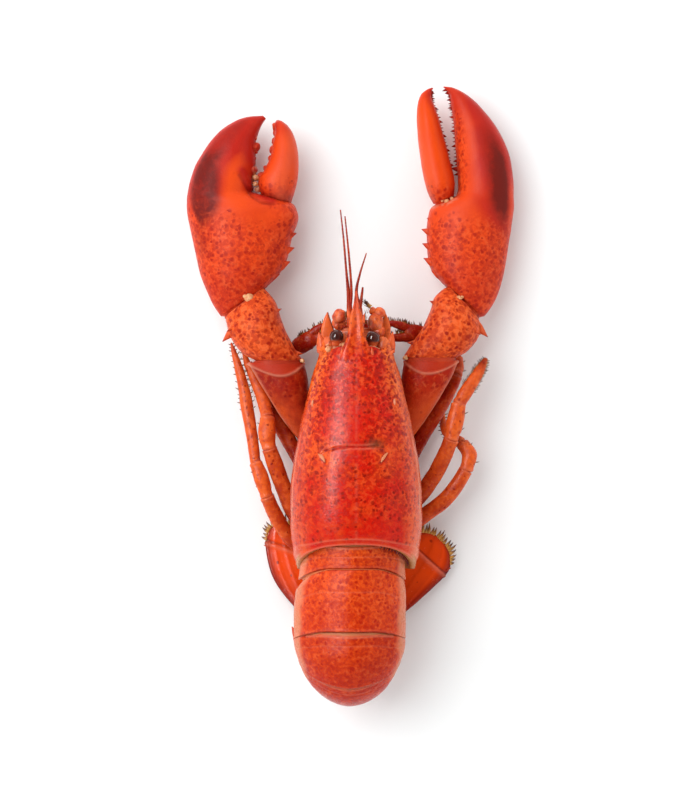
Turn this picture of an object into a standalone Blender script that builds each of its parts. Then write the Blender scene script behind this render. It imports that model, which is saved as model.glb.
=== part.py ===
"""A whole boiled lobster, lying on its belly with its claws forward and its tail curled under.

X points to the lobster's right, Y to its head and Z up. The origin is on the table, under the
middle of the whole. Lengths and places are in millimetres, and MM turns them into metres.
Every shell piece is a loft: smooth curves run through a few rows of hand-set sizes, and a ring
of points is laid round the piece at each station.
"""
import bpy
import bmesh
from math import cos, degrees, pi, radians, sin, tau
from mathutils import Vector

MM = 0.001
ROOT_GAP = 0.6       # from the end of a limb to the root that carries it
ROOT_INSET = 0.3     # how much smaller the root is than that end
ROOT_INNER = 7.0     # the root ends inside the body, this far from the midline
ROOT_BACK = 4.5      # this much further back than it starts
ROOT_REARMOST = -69.5
ROOT_LIFT = 2.0      # and this much higher
ROOT_TAPER = 0.8     # at this share of its size
UP = Vector((0.0, 0.0, 1.0))

# The carapace: the one shield over head and thorax
BODY_X = 2.5                  # the body's midline
CARAPACE_REAR = -65.6         # Y of the middle of the rear edge
RIM_SWEEP = 12.0              # how much further back the sides of that edge reach
RIM_WALL = 2.2                # thickness of the shell at that edge
CUP_FLOOR = -64.6             # Y of the closed floor inside the rear edge
CHANNEL_RISE = 6.0            # the underside is hollowed by this much between the margins
GROOVE_Y = -24.0              # the cervical groove crosses the back here
GROOVE_DEPTH = 1.0
GROOVE_WIDTH = 1.6
GROOVE_TURN = 48.0            # degrees each side of the ridge line that the groove runs
SWEEP_FROM = 42.0             # the sides begin to sweep back this far behind the origin
SWEEP_TURNS = (38.0, 92.0)    # degrees from the ridge line over which the sweep grows
SWEEP_ENDS = (125.0, 150.0)   # and over which it goes again, below
HOLLOW_ENDS = (0.62, 0.8)     # shares of the half width over which the hollow runs out

# Y, half width, top, widest level, lower margin
CARAPACE_ROWS = (
    (-65.6, 25.9, 56.0, 32.0, 13.5),
    (-61.0, 27.6, 58.0, 32.0, 13.0),
    (-52.0, 29.3, 59.5, 32.0, 13.0),
    (-42.0, 29.1, 60.0, 32.0, 13.0),
    (-34.0, 28.3, 60.0, 33.0, 14.6),
    (-24.0, 26.6, 59.0, 35.0, 18.0),
    (-10.0, 23.9, 56.5, 37.0, 23.0),
    (0.0, 21.5, 54.0, 38.0, 26.0),
    (9.0, 19.3, 52.0, 38.5, 28.0),
    (18.0, 16.2, 50.0, 39.0, 30.0),
    (21.0, 14.8, 49.0, 39.0, 31.0),
)
CARAPACE_POWERS = (2.25, 3.2)  # fullness of the back, and of the part below the widest level

# The rostrum: Y, half width, top, thickness
ROSTRUM_ROWS = (
    (8.0, 8.5, 51.6, 4.0),
    (18.0, 7.4, 50.9, 4.6),
    (26.0, 5.0, 51.0, 4.4),
    (34.0, 3.8, 51.6, 3.8),
    (38.5, 1.9, 52.0, 3.0),
    (45.2, 0.5, 52.6, 1.2),
)
# across and up, in half widths and thicknesses
ROSTRUM_SECTION = (
    (-1.0, -0.35), (-0.45, -0.08), (0.0, 0.0), (0.45, -0.08), (1.0, -0.35), (0.5, -1.0), (-0.5, -1.0))

# The abdomen: the ridge line runs back, round the curl and forward again on the table
TAIL_RADIUS = 28.5
TAIL_CENTRE_Y = -110.5
TAIL_START = -65.0
TAIL_STEP = 0.8               # each plate starts this much below the rear edge of the one before
DOME_SHARE = 0.78             # share of a plate's depth above its widest level
DOME_POWERS = (1.75, 3.0)     # fullness of that dome, and of the part below it
PLATE_SWEEP_TURNS = (25.0, 95.0)  # degrees from the ridge line over which a plate's sides sweep back
# distance along the ridge, middle X, half width, depth
TAIL_ROWS = (
    (0.0, 1.8, 22.2, 23.5),
    (11.0, 1.5, 23.0, 24.0),
    (16.0, 0.2, 25.0, 25.4),
    (30.0, -0.3, 25.5, 26.0),
    (50.0, -0.3, 25.0, 26.0),
    (68.0, -0.3, 23.2, 25.0),
    (90.0, -0.2, 20.8, 22.5),
    (115.0, 0.0, 19.0, 18.0),
    (141.0, 0.5, 16.0, 11.5),
)
# start and end of each plate along the ridge, ridge line below the path, sweep of start and end
TAIL_PLATES = (
    (0.0, 11.2, 4.0, 0.0, 6.0),
    (11.5, 38.6, 0.6, 6.0, 4.5),
    (38.9, 66.0, 0.3, 4.5, 3.0),
    (66.3, 91.0, 0.3, 3.0, 2.0),
    (91.3, 115.0, 0.3, 2.0, 1.0),
    (115.3, 141.2, 0.3, 1.0, 0.0),
)

# Claw pieces lie flat. A row is the left edge x y, the right edge x y, the level of the edges,
# and the height above and depth below that level.
CRUSHER_PALM = (
    (-56.5, 34.6, -39.2, 48.1, 16.0, 7.0, 7.5),
    (-62.3, 41.6, -32.8, 53.2, 15.0, 12.0, 11.0),
    (-67.3, 53.3, -28.6, 60.5, 14.5, 15.0, 13.0),
    (-70.6, 67.7, -26.6, 71.0, 14.2, 16.5, 14.2),
    (-73.2, 79.5, -26.2, 81.5, 14.2, 16.5, 14.2),
    (-73.7, 86.0, -28.0, 85.4, 14.2, 15.5, 13.6),
    (-73.4, 90.5, -44.6, 91.2, 14.2, 14.0, 12.6),
    (-72.0, 97.0, -43.9, 98.0, 14.0, 12.8, 11.6),
    (-69.0, 104.5, -42.6, 105.5, 14.0, 11.4, 10.4),
    (-63.5, 113.3, -42.8, 112.0, 14.0, 9.8, 9.0),
    (-55.8, 120.7, -41.4, 117.5, 14.0, 7.6, 7.0),
    (-47.0, 124.8, -39.8, 121.6, 14.0, 4.6, 4.2),
    (-39.5, 125.4, -38.1, 124.2, 14.0, 1.2, 1.0),
)
CRUSHER_THUMB = (
    (-39.0, 90.6, -27.4, 87.2, 15.5, 8.0, 7.6),
    (-41.2, 93.2, -25.4, 90.2, 16.0, 10.6, 9.6),
    (-41.4, 96.4, -24.0, 95.6, 16.0, 11.0, 10.0),
    (-38.6, 101.2, -23.3, 102.6, 16.0, 10.4, 9.6),
    (-35.8, 107.5, -23.8, 109.8, 16.0, 9.0, 8.4),
    (-34.9, 113.2, -25.4, 116.2, 16.0, 7.2, 6.8),
    (-34.0, 118.3, -28.0, 120.6, 15.6, 5.4, 5.0),
    (-34.0, 121.6, -30.6, 122.8, 15.2, 3.2, 3.0),
    (-33.4, 123.2, -32.4, 123.5, 15.0, 1.0, 0.9),
)
CUTTER_PALM = (
    (44.5, 48.8, 57.9, 34.2, 15.0, 6.6, 6.6),
    (40.3, 51.3, 62.8, 38.2, 14.0, 10.0, 9.6),
    (36.2, 56.8, 66.8, 46.4, 12.8, 12.6, 11.4),
    (34.7, 64.1, 69.5, 56.0, 12.2, 14.0, 12.2),
    (34.3, 73.5, 71.6, 69.5, 12.0, 14.6, 12.0),
    (35.4, 82.0, 73.3, 81.0, 12.0, 14.2, 12.0),
    (38.2, 85.4, 73.7, 86.4, 12.0, 13.6, 11.7),
    (47.6, 90.0, 73.7, 91.5, 12.0, 12.8, 11.2),
    (48.5, 96.5, 73.2, 98.5, 12.0, 12.2, 10.8),
    (48.0, 104.5, 71.8, 107.0, 12.0, 11.4, 10.2),
    (47.2, 114.0, 68.4, 116.0, 12.0, 10.4, 9.2),
    (46.4, 123.1, 63.5, 123.6, 12.0, 9.0, 8.0),
    (45.6, 129.8, 58.0, 130.3, 12.0, 7.4, 6.6),
    (44.8, 134.4, 52.0, 135.4, 12.0, 5.4, 4.8),
    (43.2, 137.3, 46.8, 138.2, 12.0, 2.8, 2.5),
    (41.7, 138.6, 42.3, 139.0, 12.0, 0.8, 0.7),
)
CUTTER_THUMB = (
    (37.8, 87.4, 45.6, 90.2, 13.0, 7.2, 6.8),
    (35.2, 90.0, 47.0, 93.0, 13.4, 9.2, 8.4),
    (33.2, 96.5, 46.6, 97.8, 13.4, 9.6, 8.6),
    (31.6, 105.5, 44.6, 106.0, 13.4, 9.0, 8.2),
    (30.4, 114.5, 42.5, 114.2, 13.4, 8.2, 7.4),
    (29.9, 123.1, 40.4, 122.2, 13.4, 7.2, 6.6),
    (30.2, 130.3, 38.0, 129.6, 13.2, 5.8, 5.4),
    (31.6, 134.8, 36.4, 134.4, 13.0, 4.0, 3.8),
    (34.2, 137.2, 36.6, 136.8, 12.8, 2.2, 2.0),
    (36.6, 138.2, 37.3, 138.0, 12.8, 0.7, 0.6),
)
CRUSHER_CARPUS = (
    (-55.6, 33.0, -38.0, 46.6, 19.0, 7.4, 7.4),
    (-54.4, 27.4, -33.4, 41.2, 20.0, 11.0, 9.6),
    (-52.2, 22.8, -31.0, 33.4, 20.0, 12.2, 10.0),
    (-48.6, 18.8, -27.8, 26.0, 20.0, 12.0, 10.0),
    (-44.8, 16.4, -23.8, 18.8, 20.0, 10.6, 9.4),
    (-42.2, 15.4, -21.6, 15.6, 20.0, 9.2, 8.6),
)
CUTTER_CARPUS = (
    (42.8, 47.4, 56.8, 32.6, 18.5, 7.2, 7.2),
    (37.8, 43.6, 58.2, 29.6, 20.0, 10.8, 9.4),
    (36.0, 38.4, 57.2, 25.6, 20.0, 12.2, 10.0),
    (33.2, 31.6, 54.6, 21.6, 20.0, 12.2, 10.0),
    (28.4, 24.2, 51.6, 18.6, 20.0, 11.0, 9.6),
    (24.0, 17.0, 47.0, 16.4, 20.0, 9.2, 8.6),
)
CRUSHER_MERUS = (
    (-45.9, 13.9, -20.8, 14.2, 20.0, 8.6, 8.4),
    (-42.6, 8.6, -19.4, 8.6, 20.0, 9.4, 8.8),
    (-38.9, 2.3, -18.4, 1.8, 19.6, 9.4, 8.8),
    (-34.9, -4.4, -16.6, -4.8, 18.0, 8.4, 8.2),
    (-30.8, -10.8, -14.6, -10.8, 16.4, 7.2, 7.2),
    (-26.8, -16.4, -12.8, -15.8, 14.6, 6.0, 6.0),
    (-23.4, -20.6, -11.4, -19.6, 13.6, 5.0, 5.2),
)
CUTTER_MERUS = (
    (24.0, 15.2, 48.2, 14.8, 20.0, 8.6, 8.4),
    (23.0, 8.8, 45.6, 8.4, 20.0, 9.4, 8.8),
    (22.2, 2.0, 42.1, 2.4, 19.6, 9.4, 8.8),
    (20.8, -4.8, 38.3, -4.4, 18.0, 8.4, 8.2),
    (19.4, -10.8, 33.8, -11.2, 16.4, 7.2, 7.2),
    (17.8, -15.8, 30.0, -16.8, 14.6, 6.0, 6.0),
    (16.6, -19.6, 27.0, -20.8, 13.6, 5.0, 5.2),
)

# Walking legs. A row is a point on the middle line, then the width and height there.
LEGS = {
    "leg_1_left": {
        "merus": (
            (-13.5, -32.5, 9.0, 6.0, 5.0), (-16.4, -27.0, 6.4, 6.0, 4.6),
            (-19.6, -19.0, 5.0, 6.2, 4.4), (-24.0, -6.0, 4.8, 6.4, 4.4), (-29.4, 11.0, 4.6, 6.2, 4.4)),
        "carpus": (
            (-30.2, 12.6, 4.7, 5.4, 4.6), (-29.8, 16.4, 5.6, 6.4, 5.0), (-27.4, 19.2, 6.8, 5.4, 4.8)),
        "palm": (
            (-26.2, 20.2, 7.6, 5.0, 4.8), (-22.6, 22.2, 10.2, 8.0, 5.8), (-18.6, 24.4, 12.6, 8.4, 5.8),
            (-15.4, 25.2, 13.3, 5.0, 4.0), (-11.6, 27.4, 14.0, 3.2, 2.8), (-8.4, 30.2, 14.4, 0.9, 0.9)),
        "finger": (
            (-18.8, 26.4, 12.8, 4.0, 3.8), (-16.8, 28.0, 13.6, 4.0, 3.4),
            (-13.2, 30.6, 14.4, 3.0, 2.6), (-9.6, 32.4, 14.8, 0.9, 0.9)),
    },
    "leg_1_right": {
        "merus": (
            (19.0, -32.0, 9.0, 6.0, 5.0), (21.6, -26.0, 6.4, 6.0, 4.6),
            (25.0, -18.0, 5.0, 6.2, 4.4), (30.4, -5.0, 4.8, 6.4, 4.4), (38.2, 13.0, 4.6, 6.2, 4.4)),
        "carpus": (
            (38.9, 14.8, 4.7, 5.4, 4.6), (39.6, 19.2, 5.6, 6.4, 5.0), (38.0, 23.0, 6.6, 5.4, 4.8)),
        "palm": (
            (36.8, 24.2, 7.3, 5.0, 4.8), (32.6, 26.4, 9.6, 8.2, 5.8), (28.0, 27.4, 12.0, 8.8, 5.8),
            (24.6, 25.8, 12.8, 4.6, 4.0), (20.0, 25.6, 13.2, 3.6, 3.0), (15.6, 26.2, 13.6, 0.9, 0.9)),
        "finger": (
            (27.4, 29.0, 12.4, 4.2, 3.8), (24.6, 30.4, 13.2, 4.2, 3.4),
            (20.4, 31.6, 14.0, 3.4, 2.8), (15.6, 32.8, 14.6, 0.9, 0.9)),
    },
    "leg_2_left": {
        "merus": (
            (-17.0, -42.5, 10.0, 6.0, 5.2), (-22.7, -30.5, 10.2, 6.4, 5.6), (-28.1, -20.5, 10.2, 6.8, 5.6),
            (-33.1, -11.5, 9.8, 6.8, 5.6), (-37.0, -3.4, 9.2, 6.2, 5.4)),
        "carpus": (
            (-37.7, -1.6, 8.8, 5.4, 5.0), (-38.6, 2.2, 7.2, 6.0, 5.0), (-38.8, 5.6, 6.0, 5.2, 4.6)),
        "foot": (
            (-38.9, 7.4, 5.4, 4.6, 4.4), (-38.9, 12.0, 4.0, 4.4, 4.0), (-38.4, 18.0, 3.0, 3.2, 3.0),
            (-37.4, 25.5, 2.2, 0.9, 0.9)),
    },
    "leg_2_right": {
        "merus": (
            (21.0, -42.0, 10.0, 6.0, 5.2), (28.2, -26.6, 10.6, 6.6, 5.8), (33.7, -16.2, 11.4, 7.0, 5.8),
            (39.8, -6.2, 12.2, 7.2, 5.8), (44.6, 2.6, 12.8, 6.8, 5.6), (46.9, 7.6, 13.0, 6.4, 5.6)),
        "carpus": (
            (47.5, 9.2, 12.4, 5.4, 5.2), (48.4, 12.6, 9.2, 5.8, 5.0), (48.2, 15.6, 6.2, 5.0, 4.6)),
        "foot": (
            (47.9, 17.0, 5.2, 4.4, 4.4), (46.8, 21.0, 3.8, 4.2, 3.8), (44.8, 26.0, 2.9, 3.0, 2.8),
            (41.8, 32.0, 2.2, 0.9, 0.9)),
    },
    "leg_3_left": {
        "merus": (
            (-19.5, -61.5, 11.0, 6.2, 5.2), (-25.9, -53.0, 13.4, 6.8, 5.6), (-29.9, -42.5, 16.0, 7.2, 5.8),
            (-33.4, -32.6, 18.6, 7.4, 5.8), (-36.0, -25.2, 20.2, 6.6, 5.6)),
        "carpus": (
            (-36.5, -23.6, 20.5, 5.8, 5.4), (-37.4, -17.0, 20.4, 8.0, 6.4), (-37.2, -11.0, 18.8, 6.2, 5.4)),
        "foot": (
            (-37.6, -9.2, 18.0, 5.8, 5.0), (-38.9, -3.4, 15.4, 6.0, 4.8), (-41.6, 3.2, 13.0, 5.2, 4.4),
            (-44.0, 8.6, 11.2, 4.4, 4.0), (-46.4, 13.8, 9.8, 3.4, 3.2), (-48.8, 20.0, 8.4, 0.9, 0.9)),
    },
    "leg_3_right": {
        "merus": (
            (22.0, -55.0, 11.0, 6.2, 5.2), (27.2, -50.0, 12.6, 6.8, 5.6), (32.6, -43.8, 15.0, 7.2, 5.8),
            (38.2, -35.4, 18.6, 7.2, 5.8), (41.8, -28.0, 21.4, 7.0, 5.8), (44.7, -20.8, 23.8, 6.6, 5.6)),
        "carpus": (
            (45.2, -19.2, 24.2, 5.8, 5.4), (46.8, -12.2, 24.6, 7.8, 6.4), (48.2, -5.2, 23.6, 6.4, 5.4)),
        "foot": (
            (48.8, -3.8, 23.0, 5.8, 5.0), (52.0, 1.6, 22.0, 6.2, 4.8), (55.6, 7.0, 20.6, 5.4, 4.4),
            (58.4, 11.6, 19.2, 4.4, 3.8), (60.9, 16.2, 18.0, 1.6, 1.6)),
    },
    "leg_4_left": {
        "merus": (
            (-19.5, -72.0, 11.0, 6.0, 5.2), (-27.0, -65.2, 12.8, 6.2, 5.4), (-32.6, -56.5, 15.4, 6.6, 5.6),
            (-37.1, -46.6, 18.2, 6.2, 5.4)),
        "carpus": (
            (-37.7, -45.0, 18.6, 5.4, 5.2), (-39.8, -38.0, 19.2, 6.8, 6.0), (-42.2, -31.4, 18.8, 5.6, 5.2)),
        "foot": (
            (-42.7, -29.8, 18.4, 4.8, 4.8), (-44.6, -16.4, 16.2, 5.4, 4.8), (-46.8, -4.6, 14.2, 5.8, 4.8),
            (-47.8, 1.6, 13.0, 5.2, 4.4), (-50.2, 11.2, 11.0, 4.0, 3.6), (-52.6, 19.0, 9.4, 2.4, 2.4),
            (-53.9, 23.4, 8.6, 0.8, 0.8)),
    },
    "leg_4_right": {
        "merus": (
            (21.5, -66.0, 11.0, 6.0, 5.2), (26.6, -60.0, 12.2, 6.4, 5.4), (32.6, -54.9, 14.0, 6.8, 5.6),
            (41.4, -48.2, 16.6, 6.8, 5.6), (47.2, -41.4, 18.2, 6.6, 5.6), (51.2, -34.8, 19.0, 6.2, 5.4)),
        "carpus": (
            (52.1, -33.3, 19.1, 5.6, 5.2), (53.4, -27.4, 18.4, 6.8, 5.8), (50.6, -22.6, 16.6, 5.4, 5.0)),
        "foot": (
            (49.4, -21.6, 15.8, 4.8, 4.6), (45.0, -18.2, 12.4, 4.8, 4.4), (42.4, -15.0, 9.2, 3.8, 3.6),
            (42.0, -11.2, 5.6, 2.4, 2.4), (42.4, -7.0, 2.4, 0.9, 0.9)),
    },
}

# The tail fan lies flat on the table, under the body, underside up.
TELSON = (
    (-9.0, -101.5, 9.6, -102.0, 2.2, 1.7, 1.7),
    (-11.0, -94.0, 12.0, -94.6, 2.1, 1.6, 1.7),
    (-9.2, -80.0, 12.4, -81.0, 2.0, 1.4, 1.6),
    (-6.4, -70.0, 11.4, -71.0, 2.0, 1.2, 1.4),
    (-2.0, -66.2, 8.4, -66.8, 2.0, 0.8, 0.9),
)
UROPODS = {
    "uropod_inner_left": (
        (-16.0, -102.6, -8.6, -102.6, 5.0, 1.1, 1.1),
        (-19.6, -95.0, -5.6, -96.0, 5.0, 1.0, 1.0),
        (-22.6, -80.0, -3.6, -80.4, 4.9, 0.9, 0.9),
        (-20.8, -69.0, -5.4, -68.0, 4.8, 0.8, 0.8),
        (-16.4, -64.4, -10.0, -63.8, 4.8, 0.6, 0.6),
    ),
    "uropod_inner_right": (
        (9.0, -102.6, 16.4, -102.6, 5.0, 1.1, 1.1),
        (7.0, -96.0, 21.6, -95.0, 5.0, 1.0, 1.0),
        (8.0, -80.6, 27.0, -80.4, 4.9, 0.9, 0.9),
        (12.4, -68.4, 28.0, -69.4, 4.8, 0.8, 0.8),
        (18.0, -63.8, 25.0, -64.2, 4.8, 0.6, 0.6),
    ),
    "uropod_outer_left": (
        (-20.4, -102.0, -12.6, -103.4, 7.4, 1.2, 1.0),
        (-27.0, -94.2, -12.8, -95.0, 7.2, 1.1, 1.0),
        (-35.2, -84.0, -16.4, -80.6, 6.6, 1.0, 0.9),
        (-38.8, -68.2, -20.2, -68.0, 6.0, 1.0, 0.9),
        (-37.2, -60.6, -22.6, -61.4, 5.8, 0.8, 0.8),
        (-32.6, -57.4, -27.6, -57.6, 5.6, 0.6, 0.6),
    ),
    "uropod_outer_right": (
        (13.4, -103.4, 20.4, -102.0, 7.4, 1.2, 1.0),
        (14.0, -94.2, 29.0, -95.2, 7.2, 1.1, 1.0),
        (18.8, -80.4, 38.9, -86.0, 6.6, 1.0, 0.9),
        (25.4, -67.6, 45.2, -79.4, 6.0, 1.0, 0.9),
        (29.4, -62.8, 45.8, -72.6, 5.8, 0.8, 0.8),
        (34.6, -60.8, 41.6, -64.6, 5.6, 0.6, 0.6),
    ),
}

# Under the carapace: half width, underside and top of the body between the legs, by Y
THORAX_ROWS = (
    (-73.0, 12.0, 10.6, 18.4),
    (-66.0, 14.5, 10.0, 18.2),
    (-40.0, 13.5, 9.6, 18.4),
    (-15.0, 11.5, 9.4, 22.4),
    (5.0, 10.0, 10.6, 26.6),
    (17.0, 9.0, 15.0, 30.4),
)
THORAX_POWER = 2.8
# Below the rostrum, in front of the carapace: Y, half width, underside and top
HEAD_ROWS = (
    (21.4, 10.6, 25.0, 39.4),
    (25.0, 10.4, 26.0, 39.4),
    (29.4, 8.4, 30.0, 39.0),
)
HEAD_POWER = 2.6
MAXILLIPED = (
    (0.0, 4.6, 6.4, 4.0, 5.6), (0.0, 12.0, 6.4, 4.6, 6.0), (0.0, 20.0, 8.0, 4.6, 5.6),
    (0.0, 27.0, 12.4, 4.0, 5.0), (0.0, 31.4, 18.0, 3.0, 3.6), (0.0, 33.0, 22.4, 1.0, 1.2),
)
MAXILLIPED_X = 4.6            # each side of the body's midline

EYE_RADIUS = 3.2
EYES = {"eye_left": (-6.1, 25.4, 43.9), "eye_right": (9.9, 24.7, 43.9)}
EYE_STALK = 2.1               # radius of the stalk
STALK_START = 21.8            # Y where the stalk leaves the socket

ANTENNA_PEDUNCLES = {
    "antenna_peduncle_left": (
        (-4.9, 30.8, 35.9, 6.4, 6.4), (-4.9, 33.2, 36.6, 6.8, 6.8), (-4.8, 36.4, 37.2, 6.2, 6.2),
        (-4.7, 39.0, 37.4, 4.0, 4.0)),
    "antenna_peduncle_right": (
        (10.4, 30.8, 35.9, 6.0, 6.4), (10.8, 33.2, 36.6, 6.2, 6.8), (11.4, 36.4, 37.2, 6.0, 6.2),
        (11.9, 38.8, 37.4, 4.2, 4.0)),
}
ANTENNAL_SCALES = {
    "antenna_scale_left": (
        (-10.8, 23.5, 34.0, 3.2, 1.8), (-11.0, 28.0, 34.5, 4.0, 1.8), (-10.7, 32.5, 35.0, 2.8, 1.6),
        (-10.1, 36.4, 35.3, 0.6, 0.6)),
    "antenna_scale_right": (
        (15.9, 23.5, 34.0, 3.0, 1.8), (16.2, 28.0, 34.5, 3.4, 1.8), (15.9, 32.5, 35.0, 2.4, 1.6),
        (15.2, 36.2, 35.3, 0.6, 0.6)),
}
# Each antennule is a short stalk that splits into thin flagella
ANTENNULES = {
    "antennule_left": (
        ((-0.2, 29.9, 41.6, 3.0, 3.0), (-0.4, 37.0, 42.6, 2.6, 2.6), (-0.8, 44.0, 43.6, 1.8, 1.8),
         (-1.8, 54.0, 45.0, 1.0, 1.0), (-3.0, 68.0, 46.0, 0.8, 0.8), (-4.4, 81.0, 46.0, 0.5, 0.5)),
        ((-0.4, 37.0, 42.6, 1.8, 1.8), (0.4, 45.0, 44.6, 1.2, 1.2), (-0.6, 60.0, 47.0, 0.9, 0.9),
         (-2.4, 78.0, 49.0, 0.5, 0.5)),
    ),
    "antennule_right": (
        ((4.4, 29.9, 41.6, 3.0, 3.0), (4.0, 37.0, 42.6, 2.6, 2.6), (2.6, 45.0, 43.4, 1.4, 1.4),
         (4.2, 53.0, 45.0, 0.9, 0.9), (7.0, 62.0, 47.0, 0.5, 0.5)),
        ((4.0, 37.0, 42.6, 1.8, 1.8), (4.8, 42.0, 44.2, 1.3, 1.3), (5.4, 47.0, 45.6, 0.8, 0.8)),
    ),
}

# Spines: root, tip and radius at the root
HEAD_SPINES = (
    ((-12.0, 19.0, 38.0), (-14.0, 27.4, 39.4), 2.8),
    ((16.8, 19.0, 38.0), (18.8, 27.6, 39.4), 2.8),
    ((-11.5, 17.0, 43.0), (-14.6, 19.4, 44.4), 1.3),
    ((16.5, 17.0, 43.0), (19.4, 19.4, 44.4), 1.3),
    ((-3.6, 15.5, 48.6), (-3.6, 20.6, 50.6), 1.3),
    ((9.4, 15.5, 48.6), (9.4, 20.6, 50.6), 1.3),
    ((-0.2, 33.6, 50.4), (-1.4, 37.6, 51.6), 1.1),
    ((5.2, 31.4, 50.4), (6.2, 35.6, 51.4), 1.1),
)
# Spines on the claws: share of the piece's length, turn round it (0 the right edge, 90 the top,
# 180 the left edge), reach and radius
EDGE_SPINES = {
    "crusher_palm": (
        (0.095, 12, 2.4, 1.9), (0.160, 12, 2.4, 1.9), (0.210, 12, 2.8, 2.0),
        (0.262, 12, 3.2, 2.1), (0.318, 12, 2.4, 1.9)),
    "cutter_palm": (
        (0.137, 168, 2.8, 1.8), (0.187, 168, 3.0, 1.8), (0.235, 168, 2.8, 1.8),
        (0.279, 168, 3.0, 1.9), (0.320, 168, 2.6, 1.6)),
    "crusher_carpus": (
        (0.20, 172, 4.2, 2.4), (0.14, 148, 2.4, 1.6), (0.80, 10, 2.4, 1.4), (0.28, 14, 2.0, 1.2)),
    "cutter_carpus": (
        (0.20, 8, 4.2, 2.4), (0.30, 32, 2.4, 1.4), (0.82, 170, 2.4, 1.4), (0.28, 166, 2.0, 1.2)),
}
SPINE_ROOT = 1.6              # how far a spine's root sits inside the surface
# Teeth along a biting edge: which edge (-1 left, 1 right), first and last place as shares of the
# piece's length, number, reach and radius
TEETH = {
    "crusher_palm": (1, 0.60, 0.90, 5, 1.7, 1.7),
    "crusher_thumb": (-1, 0.34, 0.80, 5, 1.5, 1.5),
    "cutter_palm": (-1, 0.56, 0.88, 7, 1.2, 1.0),
    "cutter_thumb": (1, 0.20, 0.78, 7, 1.2, 1.0),
}
TOOTH_ROOT = 1.2              # how far a tooth's root sits inside the edge
SPIKE_SIDES = 5

SHELL_COLOURS = {
    "carapace shell": (0.62, 0.075, 0.030),
    "claw shell": (0.60, 0.080, 0.028),
    "limb shell": (0.66, 0.120, 0.035),
    "tail shell": (0.62, 0.085, 0.032),
    "fan blade": (0.55, 0.070, 0.020),
    "eye": (0.020, 0.014, 0.012),
    "antenna": (0.58, 0.110, 0.040),
}
SHELL_ROUGHNESS = 0.38
EYE_ROUGHNESS = 0.12


def slope(before, after):
    """The slope between two steps, held down so that a curve never runs past its points."""
    if before * after <= 0.0:
        return 0.0
    most = 3.0 * min(abs(before), abs(after))
    mean = (before + after) / 2.0
    return max(-most, min(most, mean))


def row_at(rows, share):
    """The row at a share, 0 to 1, of the way along smooth curves through the rows."""
    place = share * (len(rows) - 1)
    index = min(int(place), len(rows) - 2)
    t = place - index
    result = []
    for column in range(len(rows[0])):
        start, end = rows[index][column], rows[index + 1][column]
        step = end - start
        before = start - rows[index - 1][column] if index else step
        after = rows[index + 2][column] - end if index + 2 < len(rows) else step
        leave, arrive = slope(before, step), slope(step, after)
        value = (
            (2 * t**3 - 3 * t**2 + 1) * start
            + (t**3 - 2 * t**2 + t) * leave
            + (3 * t**2 - 2 * t**3) * end
            + (t**3 - t**2) * arrive
        )
        result.append(value)
    return result


def row_for(rows, key):
    """The row whose first number is key, read from smooth curves through the rows."""
    for index in range(len(rows) - 1):
        low, high = rows[index][0], rows[index + 1][0]
        if key <= high or index == len(rows) - 2:
            share = (index + (key - low) / (high - low)) / (len(rows) - 1)
            return row_at(rows, max(0.0, min(1.0, share)))


def ease(value, low, high):
    """0 below low, 1 above high, and a smooth change between."""
    t = max(0.0, min(1.0, (value - low) / (high - low)))
    return t * t * (3.0 - 2.0 * t)


def full(value, power):
    """A sine or cosine pushed out towards a fuller, squarer section as power grows over 2."""
    size = abs(value) ** (2.0 / power)
    return size if value >= 0.0 else -size


def middle(ring):
    return sum(ring, Vector()) / len(ring)


def inset(ring, distance):
    """The ring drawn in towards its middle by a distance."""
    centre = middle(ring)
    result = []
    for point in ring:
        away = point - centre
        keep = max(0.12 * away.length, away.length - distance)
        result.append(centre + away.normalized() * keep)
    return result


def flat_point(rows, share, angle, power=2.2):
    """A surface point of a flattened piece given by its left and right edges, and the way out."""
    x1, y1, x2, y2, level, above, below = row_at(rows, share)
    centre = Vector(((x1 + x2) / 2, (y1 + y2) / 2, level))
    half = Vector(((x2 - x1) / 2, (y2 - y1) / 2, 0.0))
    across = full(cos(angle), power)
    lift = full(sin(angle), power)
    point = centre + half * across + UP * lift * (above if lift > 0 else below)
    outward = half.normalized() * cos(angle) + UP * sin(angle)
    return point, outward


def flat_rings(rows, along, around, power=2.2):
    """Rings across a flattened piece."""
    rings = []
    for station in range(along):
        share = station / (along - 1)
        rings.append([flat_point(rows, share, tau * k / around, power)[0] for k in range(around)])
    return rings


def limb_rings(rows, along, around, power=2.2):
    """Rings along a limb, given by points on its middle line with a width and a height."""
    centres = [Vector(row_at(rows, i / (along - 1))[:3]) for i in range(along)]
    rings = []
    for station in range(along):
        x, y, z, width, height = row_at(rows, station / (along - 1))
        ahead = centres[min(station + 1, along - 1)] - centres[max(station - 1, 0)]
        side = ahead.cross(UP).normalized()
        top = side.cross(ahead).normalized()
        ring = []
        for k in range(around):
            across = full(cos(tau * k / around), power) * width / 2
            lift = full(sin(tau * k / around), power) * height / 2
            ring.append(Vector((x, y, z)) + side * across + top * lift)
        rings.append(ring)
    return rings


def with_round_ends(rings, first=0.0, last=0.0):
    """The rings with the edges taken off one end or both, at the same length over all."""
    rings = list(rings)
    if first:
        back = (middle(rings[1]) - middle(rings[0])).normalized() * first
        rings[:1] = [inset(rings[0], first), [p + back for p in rings[0]]]
    if last:
        back = (middle(rings[-2]) - middle(rings[-1])).normalized() * last
        rings[-1:] = [[p + back for p in rings[-1]], inset(rings[-1], last)]
    return rings


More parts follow.
